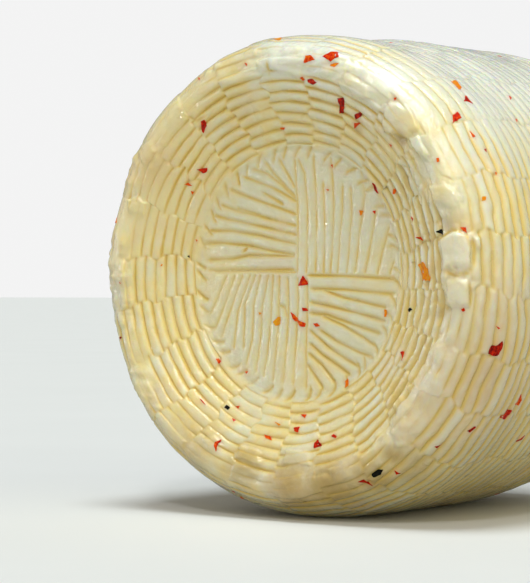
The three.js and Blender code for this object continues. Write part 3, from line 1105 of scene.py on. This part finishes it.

# %% [markdown]
# The skin's colour isn't even. It is darker and tan low on the front and right, in pits and in
# the gaps of the ribs, partly a real tan and partly painted shade, with a painted shadow low on the
# left. It is white where it is torn, and painted light on top of the lip, on the upward-facing top
# of the wall and on the top edges of the torn blocks. It is rosy low on the right, and at the left
# a lemon yellow that is painted light. A painted texture could show that, but a value at each
# point of the mesh does it without a picture. The spots are placed by their pixels, and what has a
# cause, such as the depth of a groove, is worked out from it.

# %% Spots of other colours
# pixel, size in mm and strength of the spots where the skin is darker and tan: a real tan in part,
# painted shade under the lip, in pits and creases and low on the right, and a painted shadow low on the
# left
TAN_AND_SHADE_SPOTS = [
    ((330, 490), 16, 1.0),
    ((290, 481), 12, 0.9),
    ((375, 479), 11, 0.9),
    ((245, 466), 12, 0.7),
    ((300, 500), 14, 0.7),
    ((410, 470), 14, 0.5),
    ((392, 456), 6, 0.8),
    ((401, 138), 4, 0.9),
    ((450, 224), 5, 0.4),
    ((358, 128), 4, 0.6),
    ((440, 312), 4, 0.6),
    ((150, 160), 14, 0.3),
    ((500, 425), 28, 0.4),
    ((495, 380), 24, 0.3),
    ((195, 440), 18, 0.4),
]
# and of the white spots: torn or swollen places that stay white, the top of the lip painted lighter
# as painted light, and painted highlights on the top edges of the torn blocks
WHITE_AND_LIT_SPOTS = [
    ((455, 234), 3.5, 1),
    ((136, 193), 3, 1),
    ((479, 240), 2.5, 1),
    ((396, 106), 6, 0.7),
    ((420, 142), 4, 0.8),
    ((330, 45), 28, 1.0),
    ((285, 50), 18, 0.9),
    ((390, 75), 20, 0.9),
    ((440, 80), 22, 0.6),
    ((500, 120), 25, 0.5),
    ((455, 150), 14, 0.5),
    ((458, 255), 11, 0.6),
    ((460, 295), 10, 0.5),
    ((450, 325), 10, 0.5),
    ((440, 365), 12, 0.4),
    ((428, 222), 13, 0.6),
    ((425, 252), 11, 0.6),
    ((432, 290), 14, 0.6),
    ((425, 340), 13, 0.6),
    ((376, 400), 6, 0.6),
    ((310, 440), 12, 0.3),
]
# and of the rosy ones
ROSY = [
    ((480, 390), 34, 0.9),
    ((430, 430), 20, 0.7),
    ((495, 310), 24, 0.7),
    ((450, 350), 14, 0.6),
    ((470, 235), 10, 0.5),
    ((350, 460), 12, 0.4),
]
# and of the lemon-yellow painted light at the left
LEFT_PAINTED_LIGHT = [((145, 200), 30, 1), ((175, 130), 22, 1)]
# how strong the marks are that need no spots: painted shade in the gaps of the ribs, painted light
# on the upward-facing top of the wall, and white on the wall's highest slats
GAP_PAINTED_SHADE = 0.3
TOP_PAINTED_LIGHT = 0.9
CREST_WHITE = 0.5

# how deep the print is at each point; the material paints its hollows a deeper butter as painted shade
sunk = np.clip(cut / (CUT_DEPTH + SHOULDER_DEPTH), 0, 1) * (1 - 0.7 * top_facing_up)
# darker tan low down, in pits and in the rib gaps: partly real tan, partly painted shade
tan_and_shade = np.maximum(spotted(TAN_AND_SHADE_SPOTS), GAP_PAINTED_SHADE * ribbed * ease(sunk, 0.2, 0.8))
# the upward-facing top of the wall is painted white: painted light
white_and_lit = np.maximum(spotted(WHITE_AND_LIT_SPOTS), TOP_PAINTED_LIGHT * top_facing_up)
white_and_lit = np.maximum(white_and_lit, CREST_WHITE * ease(level, 0.4, 0.9) * on_wall)
marks = {"gold_and_shade": np.clip(gold_and_shade, 0, 1), "sunk": sunk, "tan_and_shade": tan_and_shade, "white_and_lit": white_and_lit}
marks.update({"steeped_and_lit": steeped_and_lit, "rosy": spotted(ROSY), "left_painted_light": spotted(LEFT_PAINTED_LIGHT)})
print("mean of each mark:", {name: round(float(mark.mean()), 3) for name, mark in marks.items()})

# %% [markdown]
# Oil from a chili flake spreads a little way into the cheese round it, as far as the flake is
# large. The pepper leaves no stain.

# %% Stains round the chili
# how many times the flake's size the search for stained points reaches
STAIN_REACH = 2.2
STAIN_SHARE = 0.6
STAIN_BORDER = 1.1

stain = np.zeros(run.shape)
for kind in ("chili_red", "chili_dark", "chili_orange"):
    for flake in flakes[kind]:
        size = np.linalg.norm(flake.corners, axis=1).max()
        far = STAIN_REACH * (size + 1)
        close = np.all(np.abs(skin - flake.middle) < far, -1)
        distance = np.linalg.norm(skin[close] - flake.middle, axis=-1)
        stain[close] = np.maximum(stain[close], bell(distance / (STAIN_SHARE * size + STAIN_BORDER)))
marks["stain"] = stain
print("stained share of the skin:", round(float((stain > 0.3).mean()), 3))

# %% [markdown]
# ## The skin as a mesh
#
# The depths and swellings are added up, with a fine grit, and the points move along their outward
# directions. The points under the wheel are held at the ground, which leaves the small flat that
# it lies on.

# %% Shape the skin
GRIT = 0.05
GRIT_SIZE = 1.6

relief = swell - cut + GRIT * slat_noise(skin + 30, GRIT_SIZE)
shaped = skin + skin_out * relief[..., None]
shaped[..., 2] = np.maximum(shaped[..., 2], 0)
rows, columns = run.shape
print("skin with its print, mm:", np.round(shaped.min((0, 1)), 1), np.round(shaped.max((0, 1)), 1))

# %% [markdown]
# The grid's faces go round each ring, and a fan of triangles from a single point closes each end.
# Adding them through Blender's own lists one by one would be slow, so whole arrays are handed over
# at once. The mesh keeps the marks as values of its points, for the material.


# %% Faces
def closed_mesh(name, points, values):
    """A closed skin from a grid of rings, with one point at each end and a value for each point."""
    ends = np.array([points[0].mean(0), points[-1].mean(0)])
    vertices = np.vstack([points.reshape(-1, 3), ends]) * MM
    quads = grid_faces(rows, columns)
    column = np.arange(columns)
    beside = (column + 1) % columns
    first = rows * columns
    last_ring = (rows - 1) * columns
    front_fan = np.stack([np.full(columns, first), beside, column], -1)
    back_fan = np.stack([np.full(columns, first + 1), last_ring + column, last_ring + beside], -1)
    corners = np.concatenate([quads.ravel(), front_fan.ravel(), back_fan.ravel()])
    sizes = np.concatenate([np.full(len(quads), 4), np.full(2 * columns, 3)])
    mesh = bpy.data.meshes.new(name)
    mesh.vertices.add(len(vertices))
    mesh.vertices.foreach_set("co", vertices.astype(np.float32).ravel())
    mesh.loops.add(len(corners))
    mesh.loops.foreach_set("vertex_index", corners.astype(np.int32))
    mesh.polygons.add(len(sizes))
    mesh.polygons.foreach_set("loop_start", np.concatenate([[0], np.cumsum(sizes)[:-1]]).astype(np.int32))
    mesh.polygons.foreach_set("use_smooth", np.ones(len(sizes), bool))
    mesh.update(calc_edges=True)
    for value_name, value in values.items():
        layer = mesh.attributes.new(value_name, "FLOAT", "POINT")
        layer.data.foreach_set("value", np.append(value.ravel(), [0, 0]).astype(np.float32))
    return mesh


wheel_mesh = closed_mesh("cheese_skin", shaped, marks)
print("cheese skin:", len(wheel_mesh.polygons), "faces")

# %% [markdown]
# To bake the finish onto a picture, each face needs a place of its own on a flat map. Blender could
# unwrap the skin by itself, but the grid's own order gives a plainer map: the wall is cut into three
# strips, and each flat end is a round.

# %% Map of the skin
STRIPS = 3
CELL = 0.5
MARGIN = 0.006
# the two rounds lie in opposite corners of the last cell, at these shares of it
DISC_CENTRES = (0.29, 0.71)
CORNER_STEPS = ((0, 0), (0, 1), (1, 1), (1, 0))


def map_skin(mesh):
    """Lays the skin out flat: the wall in three strips, each disc in a round of its own."""
    ring, column = np.meshgrid(np.arange(rows - 1), np.arange(columns), indexing="ij")
    strip_columns = columns // STRIPS
    strip = column // strip_columns
    spread = []
    for ring_step, column_step in CORNER_STEPS:
        corner_ring = ring + ring_step
        across = (column + column_step - strip * strip_columns) / strip_columns
        up = ring_run[corner_ring] / (2 * HALF_RUN)
        wall_u = (strip % 2) * CELL + MARGIN + across * (CELL - 2 * MARGIN)
        wall_v = (strip // 2) * CELL + MARGIN + up * (CELL - 2 * MARGIN)
        spread.append(np.stack([wall_u, wall_v], -1))
    wall_map = np.stack(spread, -2)
    radius = DISC_RADIUS + np.minimum(np.minimum(ring_run, 2 * HALF_RUN - ring_run), 0)
    disc_scale = (CELL - 2 * MARGIN) * (2 - math.sqrt(2)) / 2 / DISC_RADIUS
    centres = [CELL * share for share in DISC_CENTRES]

    def on_disc(ring_index, turn, end):
        reach = radius[ring_index] * disc_scale
        u = CELL + centres[end] + reach * np.sin(turn) * (1 if end == 0 else -1)
        v = CELL + centres[end] + reach * np.cos(turn)
        return np.stack([u, v], -1)

    angle = np.arange(columns + 1) / columns * 2 * math.pi
    disc_map = wall_map.copy()
    for end, chosen in ((0, ring_run[:-1] < 0), (1, ring_run[1:] > 2 * HALF_RUN)):
        for corner, (ring_step, column_step) in enumerate(CORNER_STEPS):
            there = on_disc(ring[chosen] + ring_step, angle[column[chosen] + column_step], end)
            disc_map[chosen, :, corner] = there
    fans = []
    for end, ring_index in ((0, 0), (1, rows - 1)):
        rim = on_disc(ring_index, angle, end)
        centre = np.tile([CELL + centres[end]] * 2, (columns, 1))
        pair = (rim[1:], rim[:-1]) if end == 0 else (rim[:-1], rim[1:])
        fans.append(np.stack([centre, *pair], -2).ravel())
    layer = mesh.uv_layers.new(name="OFBake")
    layer.uv.foreach_set("vector", np.concatenate([disc_map.ravel(), *fans]).astype(np.float32))


map_skin(wheel_mesh)
wheel = bpy.data.objects.new("cheese_skin", wheel_mesh)
bpy.context.scene.collection.objects.link(wheel)
print("map layers:", [layer.name for layer in wheel_mesh.uv_layers])

# %% [markdown]
# ## The cheese's finish
#
# A material in Blender is a tree of nodes, which could be wired up by hand in the shader editor.
# Written out in full each node takes many lines, so small helpers keep the trees short: one adds a
# node with its links and settings, and one mixes two colours by a share.


# %% Node helpers
def new_material(name):
    """A material with only its shader and output, and a function that adds nodes to it."""
    material = bpy.data.materials.new(name)
    material.use_nodes = True
    tree = material.node_tree
    shader = tree.nodes["Principled BSDF"]

    def add(kind, links=None, **settings):
        node = tree.nodes.new(kind)
        for key, value in settings.items():
            setattr(node, key, value)
        for socket, source in (links or {}).items():
            if isinstance(source, bpy.types.NodeSocket):
                tree.links.new(source, node.inputs[socket])
            else:
                node.inputs[socket].default_value = source
        return node

    return material, tree, shader, add


def mix_colour(add, share, first, second):
    """One colour where the share is 0 and another where it is 1."""
    node = add("ShaderNodeMix", data_type="RGBA")
    for socket, source in ((0, share), (6, first), (7, second)):
        if isinstance(source, bpy.types.NodeSocket):
            node.id_data.links.new(source, node.inputs[socket])
        else:
            node.inputs[socket].default_value = source
    return node.outputs[2]


# %% [markdown]
# Fresh pressed cheese is ivory, with buttery, rosy and chalky patches. Each tint is laid over the
# last one, by a patchy noise in space or by one of the skin's own values: butter on the steeped
# slats and as painted warm light at the upper left, chalk on the crests as a painted sheen, chalk
# where the skin is torn and as painted light on the tops, a deeper butter in the hollows as painted
# shade, lemon at the left as painted light, tan that is partly painted shade, gold in the grooves
# that is partly painted shade, and oil on top.

# %% Cheese colours
IVORY = (0.80, 0.76, 0.54, 1)
BUTTER = (0.93, 0.75, 0.34, 1)
CHALK = (0.93, 0.95, 0.87, 1)
BLUSH = (0.82, 0.62, 0.42, 1)
# a deeper butter laid in the hollows of the print: painted shade
GROOVE_SHADE_BUTTER = (0.84, 0.65, 0.22, 1)
# gold of the grooves: partly a real yellowing, partly painted shade in the groove
GROOVE_GOLD_AND_SHADE = (0.82, 0.58, 0.11, 1)
# olive gold and tan: a real tan in part, and painted shade under the lip, in pits and low down
OLIVE_TAN_AND_SHADE = (0.52, 0.33, 0.05, 1)
TAN = (0.46, 0.29, 0.06, 1)
OIL_BLUSH = (0.85, 0.45, 0.22, 1)
# lemon yellow at the left: painted light
PAINTED_LEMON_LIGHT = (0.99, 0.79, 0.43, 1)


def cheese_colour(add, place):
    """Links the colour of the cheese together, from the skin's values and noise in space."""

    def patches(size, detail, low, high, most):
        """A share from 0 to most that comes and goes in patches; the size is in metres."""
        lumps = add("ShaderNodeTexNoise", {"Vector": place, "Scale": 1 / size, "Detail": detail})
        share = add("ShaderNodeMapRange", {"Value": lumps.outputs[0], 1: low, 2: high, 3: 0.0, 4: most})
        return share.outputs[0]

    def marked(name, low, high, most):
        """A share from 0 to most that follows one of the skin's own values."""
        value = add("ShaderNodeAttribute", attribute_name=name).outputs["Fac"]
        share = add("ShaderNodeMapRange", {"Value": value, 1: low, 2: high, 3: 0.0, 4: most})
        return share.outputs[0]

    def times(first, second):
        return add("ShaderNodeMath", {0: first, 1: second}, operation="MULTIPLY").outputs[0]

    ragged_share = patches(size=0.004, detail=3.0, low=0.35, high=0.6, most=1.0)
    chalky_share = patches(size=0.006, detail=1.0, low=0.3, high=0.75, most=1.0)
    # chalk on the crests, where the print is shallowest: a painted sheen
    crest_sheen_share = marked("sunk", low=0.25, high=0.02, most=0.38)
    tints = [
        (patches(size=0.045, detail=3.0, low=0.42, high=0.62, most=0.6), BUTTER),
        (patches(size=0.03, detail=2.0, low=0.55, high=0.7, most=0.45), BLUSH),
        # butter on the steeped slats, and painted warm light at the upper left
        (marked("steeped_and_lit", low=0.2, high=0.9, most=0.9), BUTTER),
        (marked("rosy", low=0.05, high=1.0, most=0.85), BLUSH),
        (times(crest_sheen_share, chalky_share), CHALK),
        # white where torn, painted light on the lip top and painted highlights on the block edges
        (marked("white_and_lit", low=0.05, high=1.0, most=0.9), CHALK),
        (marked("sunk", low=0.05, high=0.6, most=0.75), GROOVE_SHADE_BUTTER),
        # lemon yellow at the left: painted light
        (marked("left_painted_light", low=0.05, high=0.9, most=0.75), PAINTED_LEMON_LIGHT),
        # tan spots, partly painted shade
        (marked("tan_and_shade", low=0.05, high=1.0, most=0.85), OLIVE_TAN_AND_SHADE),
        (times(marked("tan_and_shade", low=0.2, high=1.0, most=0.4), ragged_share), TAN),
        # gold in the grooves, partly painted shade
        (marked("gold_and_shade", low=0.1, high=0.8, most=0.85), GROOVE_GOLD_AND_SHADE),
        (times(marked("stain", low=0.1, high=0.9, most=0.45), ragged_share), OIL_BLUSH),
    ]
    colour = IVORY
    for share, tint in tints:
        colour = mix_colour(add, share, colour, tint)
    print(len(tints), "tints over the ivory")
    return colour


# %% [markdown]
# Fresh cheese is a little clear: light sinks in a few millimetres, so the shadows in the print are
# soft and warm. The skin is moist, with a soft shine over fine pores, and a film of whey on top of
# it, as a clear coat whose own bumps break the shine up into small glints.


# %% Cheese
def cheese_material():
    material, tree, shader, add = new_material("ivory_cheese")
    place = add("ShaderNodeTexCoord").outputs["Object"]
    tree.links.new(cheese_colour(add, place), shader.inputs["Base Color"])
    wet = add("ShaderNodeTexNoise", {"Vector": place, "Scale": 90.0, "Detail": 2.0})
    rough = add("ShaderNodeMapRange", {"Value": wet.outputs[0], 1: 0.3, 2: 0.7, 3: 0.25, 4: 0.5})
    tree.links.new(rough.outputs[0], shader.inputs["Roughness"])
    pores = add("ShaderNodeTexNoise", {"Vector": place, "Scale": 420.0, "Detail": 3.0})
    ripple = add("ShaderNodeTexNoise", {"Vector": place, "Scale": 1500.0, "Detail": 2.0})
    skin_bump = add("ShaderNodeBump", {"Height": pores.outputs[0], "Strength": 0.35, "Distance": 0.0007})
    fine_bump = add(
        "ShaderNodeBump",
        {"Height": ripple.outputs[0], "Strength": 0.25, "Distance": 0.0002, "Normal": skin_bump.outputs[0]},
    )
    tree.links.new(fine_bump.outputs[0], shader.inputs["Normal"])
    beads = add("ShaderNodeTexNoise", {"Vector": place, "Scale": 700.0, "Detail": 2.0})
    wet_bump = add("ShaderNodeBump", {"Height": beads.outputs[0], "Strength": 0.8, "Distance": 0.0007})
    tree.links.new(wet_bump.outputs[0], shader.inputs["Coat Normal"])
    shader.inputs["Subsurface Weight"].default_value = 0.8
    shader.inputs["Subsurface Radius"].default_value = (1.0, 0.75, 0.3)
    shader.inputs["Subsurface Scale"].default_value = 0.0024
    shader.inputs["Specular IOR Level"].default_value = 0.5
    shader.inputs["Coat Weight"].default_value = 1.0
    shader.inputs["Coat IOR"].default_value = 1.65
    shader.inputs["Coat Roughness"].default_value = 0.08
    return material


wheel_mesh.materials.append(cheese_material())
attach(wheel, "root")
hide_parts("cheese_wheel")
print("the cheese's nodes:", len(wheel_mesh.materials[0].node_tree.nodes))

# %% [markdown]
# ## The flakes as meshes
#
# A flake of dried chili is a thin stiff chip. Pressed into the curd it bridges the grooves and
# lies flush with the slats, so only its upper face shows, hardly higher than the cheese. Each
# flake is a small closed chip: rings of points that shrink towards its middle, dropped onto the
# skin, and a lower side that stays sunk in the cheese. All the flakes of a kind are one mesh, and
# each keeps a tone of its own, as no two chips dry to the same colour.

# %% Make the chips
RIM_POINTS = 20
RING_SHARES = (1.0, 0.8, 0.45)
CHIP_TOP = 0.14
CHIP_SINK = 0.6
CRUMPLE = 0.12
CRUMPLE_SIZE = 1.3
# points are dropped onto the skin from this far out
DROP_HEIGHT = 8

skin_tree = BVHTree.FromObject(wheel, bpy.context.evaluated_depsgraph_get())
chip_draw = np.random.default_rng(31)
crumple_noise = noise_maker(5)


def rim_of(corners):
    """Evenly spaced points round a flake's outline, with a slightly ragged edge."""
    closed = np.vstack([corners, corners[:1]])
    walked = np.concatenate([[0], np.cumsum(np.linalg.norm(np.diff(closed, axis=0), axis=1))])
    stops = np.linspace(0, walked[-1], RIM_POINTS, endpoint=False)
    rim = np.stack([np.interp(stops, walked, closed[:, axis]) for axis in (0, 1)], -1)
    return rim * chip_draw.uniform(0.9, 1.06, (RIM_POINTS, 1))


def height_on_skin(point, facing):
    """How far the skin lies from a point, along the way that a flake faces."""
    start = (point + facing * DROP_HEIGHT) * MM
    hit = skin_tree.ray_cast(Vector(start), Vector(-facing))
    return 0.0 if hit[0] is None else DROP_HEIGHT - hit[3] / MM


def chip(flake):
    """The points and faces of one flake, in mm."""
    rim = rim_of(flake.corners)
    flat = np.vstack([*(rim * share for share in RING_SHARES), np.zeros((1, 2))])
    points = flake.middle + flat[:, :1] * flake.across + flat[:, 1:] * flake.up
    heights = np.array([height_on_skin(point, flake.facing) for point in points])
    mean_height = heights.mean()
    top = np.maximum(heights + CHIP_TOP, mean_height) + CRUMPLE * crumple_noise(points, CRUMPLE_SIZE)
    upper = points + top[:, None] * flake.facing
    sunk_by = (mean_height - CHIP_SINK) * flake.facing
    vertices = np.vstack([upper, points[:RIM_POINTS] + sunk_by, [flake.middle + sunk_by]])
    faces = []
    middle_top = len(RING_SHARES) * RIM_POINTS
    lower = middle_top + 1
    for index in range(RIM_POINTS):
        beside = (index + 1) % RIM_POINTS
        for ring in range(len(RING_SHARES) - 1):
            outer = ring * RIM_POINTS
            inner = outer + RIM_POINTS
            faces.append((outer + index, outer + beside, inner + beside, inner + index))
        inner = (len(RING_SHARES) - 1) * RIM_POINTS
        faces.append((inner + index, inner + beside, middle_top))
        faces.append((lower + index, lower + beside, beside, index))
        faces.append((lower + beside, lower + index, lower + RIM_POINTS))
    return vertices, faces


def flake_piece(name, kinds, tones):
    """One mesh of all the flakes of some kinds, each with a tone within its kind's range."""
    vertices, faces, tone = [], [], []
    for kind in kinds:
        for flake in flakes[kind]:
            chip_vertices, chip_faces = chip(flake)
            faces += [tuple(len(vertices) + corner for corner in face) for face in chip_faces]
            vertices += (chip_vertices * MM).tolist()
            tone += [chip_draw.uniform(*tones[kind])] * len(chip_vertices)
    mesh = bpy.data.meshes.new(name)
    mesh.from_pydata(vertices, [], faces)
    layer = mesh.attributes.new("tone", "FLOAT", "POINT")
    layer.data.foreach_set("value", tone)
    piece = bpy.data.objects.new(name, mesh)
    bpy.context.scene.collection.objects.link(piece)
    print(name, len(faces), "faces")
    return piece


# %% [markdown]
# Dried chili is glassy and deep red where it is thick, and orange where it is thin. Its colour
# runs between three reds by the flake's tone and a fine noise. Pepper is nearly black.


# %% Flake materials
def flake_material(name, deep, middle, bright, roughness):
    material, tree, shader, add = new_material(name)
    place = add("ShaderNodeTexCoord").outputs["Object"]
    tone = add("ShaderNodeAttribute", attribute_name="tone").outputs["Fac"]
    mottle = add("ShaderNodeTexNoise", {"Vector": place, "Scale": 700.0, "Detail": 3.0})
    spread = add("ShaderNodeMapRange", {"Value": mottle.outputs[0], 1: 0.3, 2: 0.7, 3: -0.3, 4: 0.3})
    shade = add("ShaderNodeMath", {0: tone, 1: spread.outputs[0]}, operation="ADD")
    ramp = add("ShaderNodeValToRGB", {"Fac": shade.outputs[0]})
    ramp.color_ramp.elements[0].color = deep
    ramp.color_ramp.elements[1].color = bright
    ramp.color_ramp.elements.new(0.5).color = middle
    tree.links.new(ramp.outputs[0], shader.inputs["Base Color"])
    wrinkle = add("ShaderNodeBump", {"Height": mottle.outputs[0], "Strength": 0.3, "Distance": 0.0003})
    tree.links.new(wrinkle.outputs[0], shader.inputs["Normal"])
    shader.inputs["Roughness"].default_value = roughness
    shader.inputs["Specular IOR Level"].default_value = 0.12
    return material


RED_SHADES = [(0.18, 0.002, 0.001, 1), (0.70, 0.022, 0.001, 1), (0.92, 0.18, 0.003, 1)]
ORANGE_SHADES = [(0.85, 0.09, 0.003, 1), (0.88, 0.27, 0.008, 1), (0.85, 0.50, 0.03, 1)]
PEPPER_SHADES = [(0.002, 0.002, 0.001, 1), (0.006, 0.006, 0.003, 1), (0.03, 0.025, 0.015, 1)]

red_tones = {"chili_red": (0.4, 0.75), "chili_dark": (0.12, 0.4)}
red_chili = flake_piece("chili_red", red_tones, red_tones)
red_chili.data.materials.append(flake_material("red_chili", *RED_SHADES, roughness=0.35))
orange_chili = flake_piece("chili_orange", ["chili_orange"], {"chili_orange": (0.05, 0.7)})
orange_chili.data.materials.append(flake_material("orange_chili", *ORANGE_SHADES, roughness=0.35))
black_pepper = flake_piece("pepper_black", ["pepper"], {"pepper": (0.2, 0.6)})
black_pepper.data.materials.append(flake_material("black_pepper", *PEPPER_SHADES, roughness=0.5))
for piece in (red_chili, orange_chili, black_pepper):
    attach(piece, "root")

# %% [markdown]
# ## Light and floor
#
# The floor is a very wide pale sheet, so that every view has a plain ground out to the horizon. It
# would throw much light up under the wheel, where the picture is dark. So it shows its pale colour
# to the camera only, and a darker one to the light that bounces off it.

# %% Floor
FLOOR_REACH = 30.0
FLOOR_BOUNCE = (0.45, 0.44, 0.40, 1)


def make_floor():
    mesh = bpy.data.meshes.new("pale_floor")
    ways = ((-1, -1), (1, -1), (1, 1), (-1, 1))
    corners = [(x * FLOOR_REACH, y * FLOOR_REACH, 0) for x, y in ways]
    mesh.from_pydata(corners, [], [(0, 1, 2, 3)])
    floor = bpy.data.objects.new("pale_floor", mesh)
    bpy.context.scene.collection.objects.link(floor)
    material, tree, shader, add = new_material("pale_floor")
    place = add("ShaderNodeTexCoord").outputs["Object"]
    grain = add("ShaderNodeTexNoise", {"Vector": place, "Scale": 6.0, "Detail": 4.0})
    pale = mix_colour(add, grain.outputs[0], (0.78, 0.78, 0.78, 1), (0.82, 0.82, 0.82, 1))
    seen = add("ShaderNodeLightPath").outputs["Is Camera Ray"]
    colour = mix_colour(add, seen, FLOOR_BOUNCE, pale)
    tree.links.new(colour, shader.inputs["Base Color"])
    shader.inputs["Roughness"].default_value = 0.7
    mesh.materials.append(material)
    print("floor, m across:", 2 * FLOOR_REACH)


make_floor()

# %% [markdown]
# Four far lights shine on the wheel. A far light, such as a sun with a large disc, lights floor and
# wheel evenly, where a lamp close by would leave the distance dark. The cool key comes from above,
# so the top of the wheel is nearly white, the band's upper half is in soft shade and the underside
# is dark. The very wide warm fill comes low from the right, and two small ones only add the glints
# on the wet skin. The sky shines less on the wheel than it shows, or it would fill in the shadows
# of the print.

# %% Lights
KEY_FROM = (0.1, -0.12, 1)
KEY_STRENGTH = 1.95
KEY_SPREAD = 25
KEY_TINT = (0.92, 1.0, 1.0)
FILL_FROM = (0.95, -0.65, 0.3)
FILL_STRENGTH = 1.08
FILL_SPREAD = 80
FILL_TINT = (1.03, 1.0, 0.69)
GLINTS_FROM = [(0.35, -0.6, 0.65), (-0.86, -0.5, 0.06)]
GLINT_STRENGTHS = [0.6, 0.3]
GLINT_SPREAD = 8
GLINT_TINT = (1, 1, 1)
SKY_SHOWN = 0.9
SKY_LIGHT = 0.22


def add_far_light(name, shines_from, strength, spread, tint):
    """A light too far away to fade, whose disc is as many degrees across as its spread."""
    lamp = bpy.data.lights.new(name, "SUN")
    lamp.angle = math.radians(spread)
    lamp.energy = strength
    lamp.color = tint
    light = bpy.data.objects.new(name, lamp)
    light.rotation_euler = Vector(shines_from).to_track_quat("Z", "Y").to_euler()
    bpy.context.scene.collection.objects.link(light)


def make_sky():
    world = bpy.data.worlds.new("pale_sky")
    world.use_nodes = True
    tree = world.node_tree
    background = tree.nodes["Background"]
    seen = tree.nodes.new("ShaderNodeLightPath").outputs["Is Camera Ray"]
    strength = tree.nodes.new("ShaderNodeMapRange")
    tree.links.new(seen, strength.inputs["Value"])
    strength.inputs["To Min"].default_value = SKY_LIGHT
    strength.inputs["To Max"].default_value = SKY_SHOWN
    tree.links.new(strength.outputs[0], background.inputs["Strength"])
    background.inputs["Color"].default_value = (1.0, 1.0, 1.0, 1)
    bpy.context.scene.world = world


add_far_light("key_light", KEY_FROM, KEY_STRENGTH, KEY_SPREAD, KEY_TINT)
add_far_light("fill_light", FILL_FROM, FILL_STRENGTH, FILL_SPREAD, FILL_TINT)
for shines_from, strength in zip(GLINTS_FROM, GLINT_STRENGTHS):
    add_far_light("glint_light", shines_from, strength, GLINT_SPREAD, GLINT_TINT)
make_sky()
bpy.context.scene.view_settings.view_transform = "Standard"

# %% [markdown]
# The skin may pass the frame's box only by its small lumps.

# %% Done
print("the cheese, its flakes, the floor and the lights are built")
